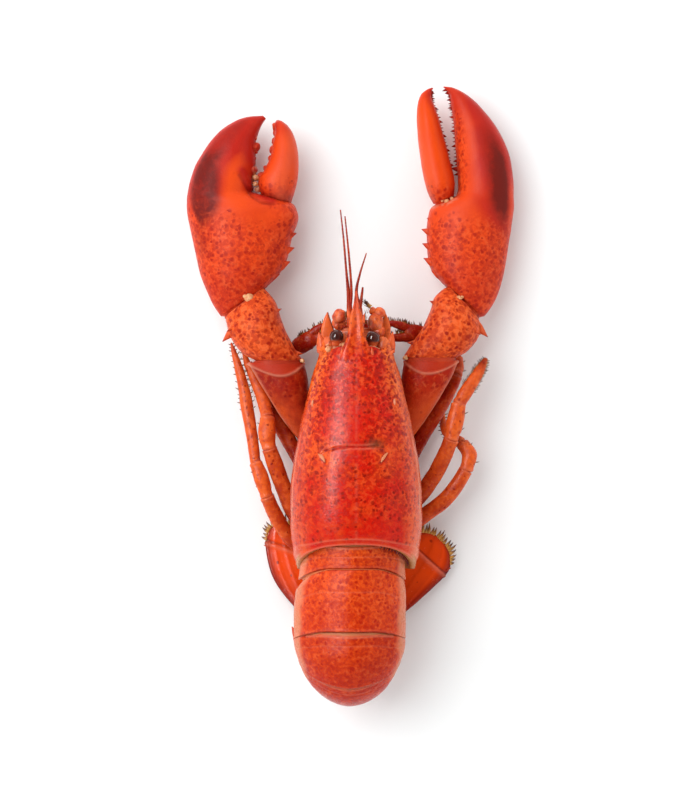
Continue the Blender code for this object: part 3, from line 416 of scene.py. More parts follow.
def boiled_shell(
        name, orange, red, freckle, freckle_mm=1.6, freckle_size=0.36, cloud_mm=16.0, cloud=0.9,
        mottle=0.3, fleck_mm=2.2, net=0.2, roughness=0.26, pits=0.4, shine=0.13):
    """Pigmented shell: two shades in clouds, mottling, freckles, and the marks of each point."""
    finish, tree, shader, place = new_finish(name)
    mark = {key: add(tree, "Attribute", attribute_name=key).outputs["Fac"] for key in MARKS}

    # clouds of pigment, cloud_mm across
    drift = scaled(tree, cloudy(tree, place, cloud_mm, 5.0, 0.62)["Fac"], 1.0, -0.5)
    reddish = scaled(tree, drift, cloud, mark["red"], use_clamp=True)
    ground = blend(tree, reddish, orange, red)

    # mottling: ragged red flecks, fleck_mm apart, that run together
    flecks = cloudy(tree, place, fleck_mm, 3.0, 0.6, 0.6)
    ragged = ramp(tree, flecks["Fac"], 0.50, 0.56)
    mottled = blend(tree, times(tree, mark["freckles"], mottle, ragged), ground, FLECK)

    # and a paler net left over between them
    gaps = ramp(tree, flecks["Fac"], 0.46, 0.39)
    netted = blend(tree, times(tree, mark["freckles"], net, gaps), mottled, PALE_NET)

    # freckles: uneven spots of many sizes, at most one to a cell; the mark says in how many
    swirl = add(tree, "VectorMath", {0: flecks["Color"], 1: (0.5, 0.5, 0.5)}, operation="SUBTRACT")
    shift = add(tree, "VectorMath", {0: swirl.outputs[0], "Scale": SWIRL}, operation="SCALE")
    moved = add(tree, "VectorMath", {0: place, 1: shift.outputs[0]}, operation="ADD").outputs[0]
    cells = add(tree, "TexVoronoi", {"Vector": moved, "Scale": 1000.0 / freckle_mm}).outputs
    lot = add(tree, "SeparateColor", {"Color": cells["Color"]}).outputs
    spread = times(tree, cells["Distance"], scaled(tree, lot["Blue"], 0.9, 0.75))
    spot = ramp(tree, spread, freckle_size * 1.5, freckle_size * 0.5, interpolation_type="SMOOTHSTEP")
    chosen = ramp(tree, scaled(tree, lot["Red"], -1.0, mark["freckles"]), 0.0, 0.12)
    depth = ramp(tree, lot["Green"], 0.0, 1.0, 0.5, 1.0)
    freckled = blend(tree, times(tree, spot, chosen, depth), netted, freckle)

    # dark patches with a frayed edge, which also carry painted shade, then pale rims, which also carry a
    # painted sheen, then bare joint skin
    uneven = scaled(tree, drift, 1.6, scaled(tree, flecks["Fac"], 0.9, 0.55))
    patch = ramp(tree, times(tree, mark["dark"], uneven), 0.06, 0.85)
    stained_and_shaded = blend(tree, patch, freckled, MAROON_AND_SHADE)
    rimmed_and_sheened = blend(tree, mark["pale"], stained_and_shaded, PALE_RIM_AND_SHEEN)

    # pits about 0.5 mm across are drawn at 0.8 mm, as the picture shows about 0.45 mm a pixel
    fine = cloudy(tree, place, PIT_MM, 3.0, 0.7)["Fac"]
    relief = add(tree, "Bump", {"Height": fine, "Strength": pits, "Distance": PIT_DEPTH})
    # the sheen changes a little from fleck to fleck; the waxy skin is broken up by pits, so it
    # mirrors less than smooth chitin, whose level is 0.5
    fill(tree, shader, {
        "Base Color": blend(tree, mark["skin"], rimmed_and_sheened, JOINT_SKIN), "Normal": relief.outputs["Normal"],
        "Roughness": ramp(tree, flecks["Fac"], 0.3, 0.7, roughness - 0.08, roughness + 0.08),
        "IOR": CHITIN_INDEX, "Specular IOR Level": shine})
    return finish


FLECK = "9C1206"
PALE_NET = "E68250"
# the dark colour is the maroon of real patches and also painted shade; the pale one is that of real pale
# rims and also a painted sheen
MAROON_AND_SHADE = "670E0A"
PALE_RIM_AND_SHEEN = "D4856A"
JOINT_SKIN = "A87848"

# freckles are closest on the carapace and the tail; clouds of pigment are largest on the claws.
# The carapace and the legs have the clearest sheen, the claws and the wrists the dullest.
carapace_shell = boiled_shell(
    "boiled carapace shell", "DC5E1E", "C01806", "7E0E04", freckle_mm=1.85, freckle_size=0.42, cloud_mm=8.0,
    cloud=1.3, mottle=0.85, fleck_mm=2.1, net=0.14, roughness=0.24, pits=0.22, shine=0.2)
claw_shell = boiled_shell(
    "boiled claw shell", "D6420E", "AC1A10", "9A1606", freckle_mm=2.0, freckle_size=0.46, cloud_mm=14.0,
    cloud=0.7, mottle=0.42, net=0.12, roughness=0.38, pits=0.3, shine=0.09)
wrist_shell = boiled_shell(
    "boiled wrist shell", "D85420", "A8260C", "8C1406", freckle_mm=2.1, freckle_size=0.42, cloud_mm=10.0,
    mottle=0.5, fleck_mm=2.6, roughness=0.34, pits=0.6, shine=0.08)
leg_shell = boiled_shell(
    "boiled leg shell", "D85A20", "981A06", "801404", freckle_mm=2.2, freckle_size=0.26, cloud_mm=6.0,
    cloud=1.6, mottle=0.6, net=0.3, shine=0.2)
tail_shell = boiled_shell(
    "boiled tail shell", "D84C14", "AE1A06", "A41C06", freckle_mm=1.9, freckle_size=0.42, cloud_mm=9.0,
    cloud=1.0, mottle=0.45, fleck_mm=2.0, net=0.14, roughness=0.28, shine=0.12)
print("shells:", [m.name for m in (carapace_shell, claw_shell, wrist_shell, leg_shell, tail_shell)])


# %% [markdown]
# ## The carapace
# One shield covers head and thorax. A groove crosses its back with a hook at each end, a faint
# line runs down the middle, and the rear edge is rolled into a pale rim over the tail. The shield
# is lofted along the body; groove, line and rim are relief worked out from distance to them.

# %% The carapace's rows and rings
BODY_X = 2.5
CARAPACE_REAR = -65.6
CARAPACE_FRONT = 21.0
ALONG_CARAPACE = 240
AROUND_CARAPACE = 260
RIM_SWEEP = 12.0
RIM_WALL = 2.2
CUP_FLOOR = -64.6
CHANNEL_RISE = 6.0
SWEEP_FROM = 42.0
SWEEP_TURN = 92.0
SWEEP_ENDS = (125.0, 150.0)
HOLLOW_ENDS = (0.62, 0.8)
CARAPACE_ROWS = (
    (-65.6, 25.9, 56.0, 32.0, 13.5),
    (-61.0, 27.6, 58.0, 32.0, 13.0),
    (-52.0, 29.3, 59.5, 32.0, 13.0),
    (-42.0, 29.1, 60.0, 32.0, 13.0),
    (-34.0, 28.3, 60.0, 33.0, 14.6),
    (-24.0, 26.6, 59.0, 35.0, 18.0),
    (-10.0, 23.9, 56.5, 37.0, 23.0),
    (0.0, 21.5, 54.0, 38.0, 26.0),
    (9.0, 19.3, 52.0, 38.5, 28.0),
    (18.0, 16.2, 50.0, 39.0, 30.0),
    (21.0, 14.8, 49.0, 39.0, 31.0),
)
CARAPACE_POWERS = (2.25, 3.2)
# the groove across the back, as points x y on it from hook to hook
GROOVE = ((-11.2, -29.6), (-13.0, -26.6), (-11.0, -24.6), (-6.4, -23.3), (0.0, -22.9), (6.0, -22.9),
          (11.5, -22.3), (15.0, -23.4), (15.6, -26.4), (13.2, -29.6))
# eye sockets and corners at the front edge: degrees from the ridge, width in degrees, reach
FRONT_EDGE = ((50.0, 15.0, -1.6), (76.0, 9.0, 2.6), (120.0, 30.0, -1.5))


def carapace_ring(y, around, wall=0.0):
    """One ring round the carapace; with a wall it lies inside the shell."""
    _, half, top, widest, margin = row_for(CARAPACE_ROWS, y)
    half, top = half - wall, top - wall
    margin += wall + CHANNEL_RISE if wall else 0.0
    angle = turns(around)
    upper = np.cos(angle) > 0.0
    power = np.where(upper, *CARAPACE_POWERS)
    lift, across = section(angle, power)
    height = widest + lift * np.where(upper, top - widest, widest - margin)
    if not wall:
        height += np.where(upper, 0.0, CHANNEL_RISE * fade(np.abs(across), *HOLLOW_ENDS))
    from_top = np.degrees(np.minimum(angle, tau - angle))
    back = RIM_SWEEP * ease(-y, SWEEP_FROM, -CARAPACE_REAR) * fade(from_top, *SWEEP_ENDS)
    back = back * (from_top / SWEEP_TURN).clip(0.0, 1.0) ** 2
    ahead = sum(reach * hill(from_top, at, wide) for at, wide, reach in FRONT_EDGE)
    place_y = y - back + ahead * ease(y, 10.0, CARAPACE_FRONT)
    return np.stack((BODY_X + half * across, place_y, height), axis=-1)


def distance_to(path, grid):
    """Distance in plan from each grid point to a path of straight steps, mm."""
    flat = grid[..., :2]
    best = np.full(flat.shape[:2], 1e9)
    for a, b in zip(np.array(path[:-1]), np.array(path[1:])):
        run = b - a
        t = np.clip(((flat - a) @ run) / (run @ run), 0.0, 1.0)
        best = np.minimum(best, np.linalg.norm(flat - a - t[..., None] * run, axis=-1))
    return best


def shield_height(x, y):
    """How high the shield's back is at a place."""
    _, half, top, widest, _ = row_for(CARAPACE_ROWS, min(y, CARAPACE_FRONT))
    power = CARAPACE_POWERS[0]
    lift = max(1.0 - (abs(x - BODY_X) / half) ** power, 0.0) ** (1.0 / power)
    return widest + (top - widest) * lift


print("the shield's ridge at its front, mm high:", shield_height(BODY_X, CARAPACE_FRONT))

# %% [markdown]
# The rim, the groove, the hollow at its right end and the side seams are hills and soft steps in
# the distance from them, added up as one relief. The marks read the same distances, so colour and
# relief stay together.

# %% The carapace's relief and marks
HOLLOW_PLACE, HOLLOW_SIZE = (11.2, -21.5), (4.0, 2.1)
HOOK_ENDS_X, HOOK_ENDS_Y = (-12.3, 14.7), -27.6
stations = np.linspace(CARAPACE_REAR, CARAPACE_FRONT, ALONG_CARAPACE)
shield = np.array([carapace_ring(y, AROUND_CARAPACE) for y in stations])
from_top = np.degrees(np.minimum(turns(AROUND_CARAPACE), tau - turns(AROUND_CARAPACE)))[None, :]
x, y = xyz(shield)[:2]
sideways = x - BODY_X
from_rear = (stations - CARAPACE_REAR)[:, None]

groove = distance_to(GROOVE, shield)
on_back = from_top < 70.0
# the rolled rim: a raised band, a step where it ends and a channel along its middle
rim_wide = 2.6 + 2.4 * ease(from_top, 35.0, 80.0)
rim = fade(from_rear, rim_wide * 0.85, rim_wide) * fade(from_top, 118.0, 135.0)
relief = 0.12 * rim + 0.16 * hill(from_rear, rim_wide, 0.7) * (from_top < 110.0)
relief = relief - 0.22 * hill(from_rear, rim_wide * 0.5, 0.6) * fade(from_top, 110.0, 130.0)
# the groove with its hollow, the swelling behind it, and the line down the middle
hollow = hill(x, HOLLOW_PLACE[0], HOLLOW_SIZE[0]) * hill(y, HOLLOW_PLACE[1], HOLLOW_SIZE[1]) * on_back
relief = relief - 0.6 * hill(groove, 0.0, 0.5) * on_back - 1.4 * hollow
behind_groove = ease(-y, 22.6, 24.2) * fade(-y, 26.0, 40.0)
relief = relief + 0.25 * on_back * behind_groove * fade(np.abs(sideways), 11.0, 15.0)
relief = relief - 0.05 * hill(sideways, 0.0, 0.35) * on_back
# a seam low on each side
side_seam = hill(from_top, 73.0, 2.4) * ease(-y, 12.0, 26.0) * fade(-y, 50.0, 62.0)
relief = relief + 0.25 * side_seam
shield = raised(shield, relief + 0.22 * lumps(shield, 11.0) + 0.03 * lumps(shield, 1.6, 3.0))

x, y = xyz(shield)[:2]
hooks = sum(hill(np.hypot(x - at, y - HOOK_ENDS_Y), 0.0, 1.7) for at in HOOK_ENDS_X)
front = ease(y, -20.0, 12.0)
shield_marks = {
    # towards the rear the left flank stays redder, and further down darker, as painted shade that tones
    # down the light from the left
    "red": 0.95 - 0.42 * front * ease(from_top, 30.0, 52.0)
    - (0.45 - 0.15 * ease(-sideways, 0.0, 10.0) * (1.0 - front)) * ease(from_top, 30.0, 62.0)
    - 0.35 * hill(groove, 2.0, 5.0) * ease(np.abs(sideways), 6.0, 12.0),
    "pale": np.clip(
        0.28 * hill(from_rear, rim_wide, 0.35) * (from_top < 105.0) + 0.35 * hill(from_rear, 0.3, 0.4)
        + rim * 0.4 * ease(from_top, 60.0, 85.0) + 0.7 * side_seam
        # painted sheen: the right flank paler, standing in for the pale surroundings mirrored there at a
        # slant
        + 0.22 * ease(from_top, 54.0, 76.0) * ease(sideways, 0.0, 10.0)
        + 0.10 * hill(sideways, 0.0, 0.3) * (lumps(shield, 2.5, 6.0) > -0.1) * on_back
        + 0.22 * hill(groove, 0.9, 0.4) * fade(np.abs(sideways), 7.0, 10.0) * on_back, 0.0, 1.0),
    "dark": 0.12 * front * hill(from_top, 32.0, 16.0) * (1.0 + lumps(shield, 5.0, 9.0))
    # painted shade: the rear of the left flank darker, against the light from the left
    + 0.16 * ease(-sideways, 16.0, 25.0) * (1.0 - front)
    # painted shade in the hollow at the groove's right end
    + 0.7 * hollow
    # painted shade: a dark line in the groove, left out at the hooks
    + 0.30 * hill(groove, -0.2, 0.5) * on_back * (1.0 - hooks.clip(0.0, 1.0)) * ease(groove, -1.0, 0.0),
    "freckles": (0.72 + 0.28 * ease(y, -34.0, -6.0)) * (1.0 - 0.8 * rim)
    * (1.0 - 0.45 * ease(-y, 48.0, 62.0))
    * (1.0 - 0.5 * ease(from_top, 60.0, 80.0) * (1.0 - front))
    * (1.0 - 0.65 * hill(sideways, 0.5, 5.0) * hill(y, -12.0, 14.0)),
    # the hollow's small share of skin, below, tints it grey-brown as painted shade too
    "skin": 0.7 * fade(from_rear, 1.4, 2.4) * ease(from_top, 60.0, 76.0)
    * fade(from_top, 100.0, 115.0) + 0.16 * hollow,
}
print("carapace grid:", shield.shape, "mm high:", round(float(np.ptp(shield[..., 2])), 1))

# %% [markdown]
# The beak between the eyes is a separate loft that sinks into the shield at its root. It has a
# groove down the middle between two rails, and small teeth. The rim is closed by a floor inside,
# a little ahead of the first tail plate, just as the solid is.

# %% The beak, the thorns and the closed rear
ROSTRUM_ROWS = (
    (8.0, 8.5, 51.6, 4.0),
    (18.0, 7.4, 50.9, 4.6),
    (26.0, 5.0, 51.0, 4.4),
    (34.0, 3.8, 51.6, 3.8),
    (38.5, 1.9, 52.0, 3.0),
    (45.2, 0.5, 52.6, 1.2),
)
HEAD_SPINES = (
    ((-12.0, 19.0, 38.0), (-14.0, 27.4, 39.4), 2.8),
    ((16.8, 19.0, 38.0), (18.8, 27.6, 39.4), 2.8),
    ((-11.5, 17.0, 43.0), (-14.6, 19.4, 44.4), 1.3),
    ((16.5, 17.0, 43.0), (19.4, 19.4, 44.4), 1.3),
    ((-3.6, 15.5, 48.6), (-3.6, 20.6, 50.6), 1.3),
    ((9.4, 15.5, 48.6), (9.4, 20.6, 50.6), 1.3),
    ((-0.2, 33.6, 50.4), (-1.4, 37.6, 51.6), 1.1),
    ((5.2, 31.4, 50.4), (6.2, 35.6, 51.4), 1.1),
)
# the cream hooks at the ends of the groove, as points x y
HOOKS = (((-13.9, -26.0), (-12.3, -27.4), (-11.0, -29.6)), ((16.1, -25.5), (14.4, -27.4), (13.3, -29.6)))
# across and up round the beak's section, in half widths and thicknesses
BEAK_SECTION = ((1.0, -0.42), (0.9, -0.16), (0.7, -0.02), (0.42, -0.10), (0.16, -0.16), (0.0, -0.20),
                (-0.16, -0.16), (-0.42, -0.10), (-0.7, -0.02), (-0.9, -0.16), (-1.0, -0.42), (-0.8, -0.8),
                (-0.4, -1.0), (0.0, -1.05), (0.4, -1.0), (0.8, -0.8))
RIM_HAIRS = 26
beak = np.array([
    [(BODY_X + half * (1.0 - 0.26 * ease(y, 13.0, 30.0)) * a, y, top + thick * b) for a, b in BEAK_SECTION]
    for y, half, top, thick in rows_along(ROSTRUM_ROWS, 60)])
# at its root the beak follows the shield's own curve and slips under it
root = fade(beak[..., 1], 9.0, 26.0)
on_shield = np.vectorize(shield_height)(beak[..., 0], beak[..., 1]) - 0.5 * ease(root, 0.6, 1.0)
topside = np.array([lift > -0.5 for _, lift in BEAK_SECTION])
beak[..., 2] += root * np.where(topside, on_shield - beak[..., 2], -1.5)
beak = rounded(raised(beak, 0.06 * lumps(beak, 2.0)), 0.0, 0.2)
root = fade(beak[..., 1], 13.0, 32.0)
beak_marks = {"red": 0.9 * root + (1.0 - root) * (0.05 + 0.45 * hill(beak[..., 0], BODY_X, 2.0)),
              "freckles": 0.5 + 0.5 * root,
              "pale": 0.10 * hill(beak[..., 0], BODY_X, 0.35) + 0.10 * ease(beak[..., 1], 24.0, 40.0)}
inner_rim = carapace_ring(CARAPACE_REAR, AROUND_CARAPACE, RIM_WALL)
cup_floor = inner_rim * (1.0, 0.0, 1.0) + (0.0, CUP_FLOOR, 0.0)
cup = np.array([cup_floor, inner_rim, (inner_rim + shield[0]) / 2])
closed_shield = np.concatenate((cup, shield))
closed_marks = {
    key: np.concatenate((np.full((3, AROUND_CARAPACE), 0.9 if key == "skin" else 0.0),
                         np.broadcast_to(value, shield.shape[:2])))
    for key, value in shield_marks.items()}
closed_marks["freckles"][:3] = 0.0
shells = [(closed_shield, closed_marks), (beak, beak_marks)]
for root, tip, radius in HEAD_SPINES:
    sunk = 0.9 if abs(root[0] - BODY_X) < 9.0 else 0.0
    cone = thorn(root, tip, radius) - (0.0, 0.0, sunk)
    shells.append((cone, {"red": 0.3, "pale": 0.15, "freckles": 0.3}))
# short dark hairs inside the rim on the right
for k in range(RIM_HAIRS):
    at = inner_rim[int(18 + 1.6 * k)] + (0.0, 0.6, 0.0)
    shells.append((thorn(at, at + (-0.9, -2.0, 0.3), 0.28, 6, 6), {"dark": 1.0, "freckles": 0.0}))
# the hooks, and a cream fleck on each side further forward
for places in HOOKS:
    hook = [(x, y, shield_height(x, y), wide, 0.8) for (x, y), wide in zip(places, (0.5, 1.5, 0.4))]
    shells.append((limb_grid(hook, 24, 16), {"pale": 0.7, "skin": 0.35, "freckles": 0.0}))
for x, y in ((-16.6, -4.0), (19.2, -3.4)):
    fleck = pebble((x, y, shield_height(x, y)), (1.1, 3.2, 0.9), x, 16, 0.1)
    shells.append((fleck, {"pale": 0.8, "skin": 0.2, "freckles": 0.0}))
make_piece("carapace_shield", shells, carapace_shell, "carapace shell", "carapace")

# %% [markdown]
# ## The tail
# Six plates ring the tail. It curls under the body, so the rings follow a path: back, round half
# a circle and forward again. Each plate slides under the one in front, so its front edge is
# smooth, pale and set lower, and its rear edge has a rounded lip. Where the curl opens the
# plates, a thin tan band of joint skin shows. The pale flaps at the sides have few freckles.

# %% The tail's path
TAIL_RADIUS = 28.5
TAIL_CENTRE_Y = -110.5
TAIL_START = -65.0
TAIL_STEP = 0.8
DOME_SHARE = 0.78
DOME_POWERS = (1.75, 3.0)
PLATE_SWEEP_TURNS = (25.0, 95.0)
PLATE_ALONG, PLATE_AROUND = 56, 180
TAIL_ROWS = (
    (0.0, 1.8, 22.2, 23.5),
    (11.0, 1.5, 23.0, 24.0),
    (16.0, 0.2, 25.0, 25.4),
    (30.0, -0.3, 25.5, 26.0),
    (50.0, -0.3, 25.0, 26.0),
    (68.0, -0.3, 23.2, 25.0),
    (90.0, -0.2, 20.8, 22.5),
    (115.0, 0.0, 19.0, 18.0),
    (141.0, 0.5, 16.0, 11.5),
)
TAIL_PLATES = (
    (0.0, 11.2, 4.0, 0.0, 6.0),
    (11.5, 38.6, 0.6, 6.0, 4.5),
    (38.9, 66.0, 0.3, 4.5, 3.0),
    (66.3, 91.0, 0.3, 3.0, 2.0),
    (91.3, 115.0, 0.3, 2.0, 1.0),
    (115.3, 141.2, 0.3, 1.0, 0.0),
)
# how much of each plate's front is bare joint skin at the ridge, mm
SKIN_BANDS = (2.0, 0.0, 1.7, 1.3, 0.8, 0.4)
# how much redder than the others each plate is
TAIL_REDDER = (-0.25, -0.05, 0.20, 0.40, 0.40, 0.30)
# share of each plate's length where a fine line crosses it
CROSS_LINES = (0.55, 0.36, 0.22, 0.22, 0.25, 0.25)


def tail_points(along, x, depth):
    """Places under the ridge line, from the distance along the ridge and the depth below it."""
    straight = TAIL_START - TAIL_CENTRE_Y
    turn = np.clip((along - straight) / TAIL_RADIUS, 0.0, pi)
    ridge_y = np.where(along <= straight, TAIL_START - along, TAIL_CENTRE_Y - TAIL_RADIUS * np.sin(turn))
    ridge_y = ridge_y + np.maximum(0.0, along - straight - pi * TAIL_RADIUS)
    ridge_z = TAIL_RADIUS + TAIL_RADIUS * np.cos(turn)
    return np.stack((x, ridge_y + np.sin(turn) * depth, ridge_z - np.cos(turn) * depth), axis=-1)


print("the ridge of the tail, 90 mm along:", tail_points(90.0, BODY_X, 0.0).round(1))

# %% [markdown]
# A plate is a closed ring, domed above and nearly flat below. Distance along the plate and the
# angle from the ridge tell where its skin band, crease, fine line, lip and side flaps are.

# %% The six plates
def tail_plate(number):
    """The grid and marks of one plate."""
    start, end, below, sweep_start, sweep_end = TAIL_PLATES[number]
    length = end - start
    angle = turns(PLATE_AROUND)
    upper = np.cos(angle) > 0.0
    power = np.where(upper, *DOME_POWERS)
    lift, across = section(angle, power)
    from_top = np.degrees(np.minimum(angle, tau - angle))
    rings = []
    for share in np.linspace(0.0, 1.0, PLATE_ALONG):
        along = start + share * length
        _, x, half, depth = row_for(TAIL_ROWS, along)
        # the first plate is a little wider and the next ones a little slimmer than their solids
        x, half = (x - 0.7, half + 0.7) if number == 0 else (x, half - 0.7)
        step = TAIL_STEP * (1.0 - float(ease(share, 0.0, 0.5))) if number else 0.0
        step = step * fade(from_top, 48.0, 66.0)
        sweep = sweep_start + share * (sweep_end - sweep_start)
        dome = depth * DOME_SHARE
        height = depth - dome + lift * np.where(upper, dome, depth - dome)
        back = sweep * ease(from_top, *PLATE_SWEEP_TURNS)
        sunk = below + step * np.maximum(0.0, lift)
        rings.append(tail_points(along + back, x + (half - step) * across, sunk + depth - height))
    grid = np.array(rings)
    run = share_along(grid) * length
    over = from_top[None, :]
    band = SKIN_BANDS[number] * (1.0 - (over / 56.0) ** 2).clip(0.0, 1.0) + 0.01
    skin = fade(run, band * 0.7, band) * (band > 0.1)
    crease = hill(run, 0.0, 0.4) * fade(over, 58.0, 76.0)
    line = hill(run, CROSS_LINES[number] * length, 0.35) * (over < 78.0)
    flap = ease(over + 5.0 * lumps(grid, 6.0, 2.0), 57.0, 68.0) * fade(over, 112.0, 122.0)
    lip = hill(run, length - 0.6, 0.5) * (over < 112.0)
    relief = 0.16 * lip - 0.16 * line - 0.40 * skin - 0.12 * crease
    relief = relief - 0.12 * hill(over, 60.0, 3.0) * ease(run, 1.0, 4.0)
    grid = raised(grid, relief)
    grid = raised(grid, 0.16 * lumps(grid, 10.0) + 0.03 * lumps(grid, 1.6, 4.0))
    marks = {
        "red": 0.28 + 0.30 * ease(run / length, 0.3, 1.0) + TAIL_REDDER[number],
        # the side flaps' tan and pale are partly their own colour and partly a painted sheen of the
        # surroundings mirrored at a slant
        "skin": skin * (0.45 + 0.35 * lumps(grid, 2.2, 8.0)) + (0.22 + 0.2 * lumps(grid, 5.0, 1.0)) * flap,
        "pale": np.clip(0.10 * lip + 0.12 * line + 0.50 * flap + 0.45 * skin
                        + 0.35 * hill(run, band + 0.5, 0.45) * (band > 0.1), 0.0, 1.0),
        "freckles": (1.0 - skin) * (1.0 - 0.7 * flap),
        # painted shadow in the gaps: dark where each plate comes out from under the one in front, and along
        # its own rear edge
        "dark": 0.45 * crease * (number > 0) + 0.4 * hill(run, length, 0.2) * (over < 66.0)
        + 0.16 * (number > 1) * (over < 60.0),
    }
    return grid, marks


# a small pointed corner that stands out at the left of the third plate
POINTED_CORNER = (
    (-25.0, -110.6, -19.3, -111.6, 33.0, 1.4, 1.6),
    (-25.7, -106.4, -21.8, -107.4, 34.0, 1.1, 1.2),
    (-26.1, -102.8, -25.5, -103.0, 35.0, 0.2, 0.2),
)
tail_grids = []
for number in range(len(TAIL_PLATES)):
    shells = [tail_plate(number)]
    tail_grids.append(shells[0][0])
    if number == 2:
        corner = flat_grid(POINTED_CORNER, 20, 24)
        shells.append((corner, {"red": 0.6, "pale": 0.2, "dark": 0.15, "freckles": 0.1}))
    make_piece(f"tail_plate_{number + 1}", shells, tail_shell, "tail shell", f"abdomen_{number + 1}")


# %% [markdown]
# ## The claws
# The left claw is the crusher, broad, with blunt knobs for teeth; the right one is the cutter,
# slim, with a row of small sharp teeth. Each has a fixed finger, which is one with the palm, and
# a thumb that hinges on the palm's shoulder. Thorns stand along the inner edge of each palm. The
# pieces are flattened lofts; thorns and teeth are cones and lumps set on the edge of the rows.

# %% Rows of the claws
CRUSHER_PALM = (
    (-56.5, 34.6, -39.2, 48.1, 16.0, 7.0, 7.5),
    (-62.3, 41.6, -32.8, 53.2, 15.0, 12.0, 11.0),
    (-67.3, 53.3, -28.6, 60.5, 14.5, 15.0, 13.0),
    (-70.6, 67.7, -26.6, 71.0, 14.2, 16.5, 14.2),
    (-73.2, 79.5, -26.2, 81.5, 14.2, 16.5, 14.2),
    (-73.7, 86.0, -28.0, 85.4, 14.2, 15.5, 13.6),
    (-73.4, 90.5, -44.6, 91.2, 14.2, 14.0, 12.6),
    (-72.0, 97.0, -43.9, 98.0, 14.0, 12.8, 11.6),
    (-69.0, 104.5, -42.6, 105.5, 14.0, 11.4, 10.4),
    (-63.5, 113.3, -42.8, 112.0, 14.0, 9.8, 9.0),
    (-55.8, 120.7, -41.4, 117.5, 14.0, 7.6, 7.0),
    (-47.0, 124.8, -39.8, 121.6, 14.0, 4.6, 4.2),
    (-39.5, 125.4, -38.1, 124.2, 14.0, 1.2, 1.0),
)
CRUSHER_THUMB = (
    (-39.0, 90.6, -27.4, 87.2, 15.5, 8.0, 7.6),
    (-41.2, 93.2, -25.4, 90.2, 16.0, 10.6, 9.6),
    (-41.4, 96.4, -24.0, 95.6, 16.0, 11.0, 10.0),
    (-38.6, 101.2, -23.3, 102.6, 16.0, 10.4, 9.6),
    (-35.8, 107.5, -23.8, 109.8, 16.0, 9.0, 8.4),
    (-34.9, 113.2, -25.4, 116.2, 16.0, 7.2, 6.8),
    (-34.0, 118.3, -28.0, 120.6, 15.6, 5.4, 5.0),
    (-34.0, 121.6, -30.6, 122.8, 15.2, 3.2, 3.0),
    (-33.4, 123.2, -32.4, 123.5, 15.0, 1.0, 0.9),
)
CUTTER_PALM = (
    (44.5, 48.8, 57.9, 34.2, 15.0, 6.6, 6.6),
    (40.3, 51.3, 62.8, 38.2, 14.0, 10.0, 9.6),
    (36.2, 56.8, 66.8, 46.4, 12.8, 12.6, 11.4),
    (34.7, 64.1, 69.5, 56.0, 12.2, 14.0, 12.2),
    (34.3, 73.5, 71.6, 69.5, 12.0, 14.6, 12.0),
    (35.4, 82.0, 73.3, 81.0, 12.0, 14.2, 12.0),
    (38.2, 85.4, 73.7, 86.4, 12.0, 13.6, 11.7),
    (47.6, 90.0, 73.7, 91.5, 12.0, 12.8, 11.2),
    (48.5, 96.5, 73.2, 98.5, 12.0, 12.2, 10.8),
    (48.0, 104.5, 71.8, 107.0, 12.0, 11.4, 10.2),
    (47.2, 114.0, 68.4, 116.0, 12.0, 10.4, 9.2),
    (46.4, 123.1, 63.5, 123.6, 12.0, 9.0, 8.0),
    (45.6, 129.8, 58.0, 130.3, 12.0, 7.4, 6.6),
    (44.8, 134.4, 52.0, 135.4, 12.0, 5.4, 4.8),
    (43.2, 137.3, 46.8, 138.2, 12.0, 2.8, 2.5),
    (41.7, 138.6, 42.3, 139.0, 12.0, 0.8, 0.7),
)
CUTTER_THUMB = (
    (37.8, 87.4, 45.6, 90.2, 13.0, 7.2, 6.8),
    (35.2, 90.0, 47.0, 93.0, 13.4, 9.2, 8.4),
    (33.2, 96.5, 46.6, 97.8, 13.4, 9.6, 8.6),
    (31.6, 105.5, 44.6, 106.0, 13.4, 9.0, 8.2),
    (30.4, 114.5, 42.5, 114.2, 13.4, 8.2, 7.4),
    (29.9, 123.1, 40.4, 122.2, 13.4, 7.2, 6.6),
    (30.2, 130.3, 38.0, 129.6, 13.2, 5.8, 5.4),
    (31.6, 134.8, 36.4, 134.4, 13.0, 4.0, 3.8),
    (34.2, 137.2, 36.6, 136.8, 12.8, 2.2, 2.0),
    (36.6, 138.2, 37.3, 138.0, 12.8, 0.7, 0.6),
)
CRUSHER_CARPUS = (
    (-55.6, 33.0, -38.0, 46.6, 19.0, 7.4, 7.4),
    (-54.4, 27.4, -33.4, 41.2, 20.0, 11.0, 9.6),
    (-52.2, 22.8, -31.0, 33.4, 20.0, 12.2, 10.0),
    (-48.6, 18.8, -27.8, 26.0, 20.0, 12.0, 10.0),
    (-44.8, 16.4, -23.8, 18.8, 20.0, 10.6, 9.4),
    (-42.2, 15.4, -21.6, 15.6, 20.0, 9.2, 8.6),
)
CUTTER_CARPUS = (
    (42.8, 47.4, 56.8, 32.6, 18.5, 7.2, 7.2),
    (37.8, 43.6, 58.2, 29.6, 20.0, 10.8, 9.4),
    (36.0, 38.4, 57.2, 25.6, 20.0, 12.2, 10.0),
    (33.2, 31.6, 54.6, 21.6, 20.0, 12.2, 10.0),
    (28.4, 24.2, 51.6, 18.6, 20.0, 11.0, 9.6),
    (24.0, 17.0, 47.0, 16.4, 20.0, 9.2, 8.6),
)
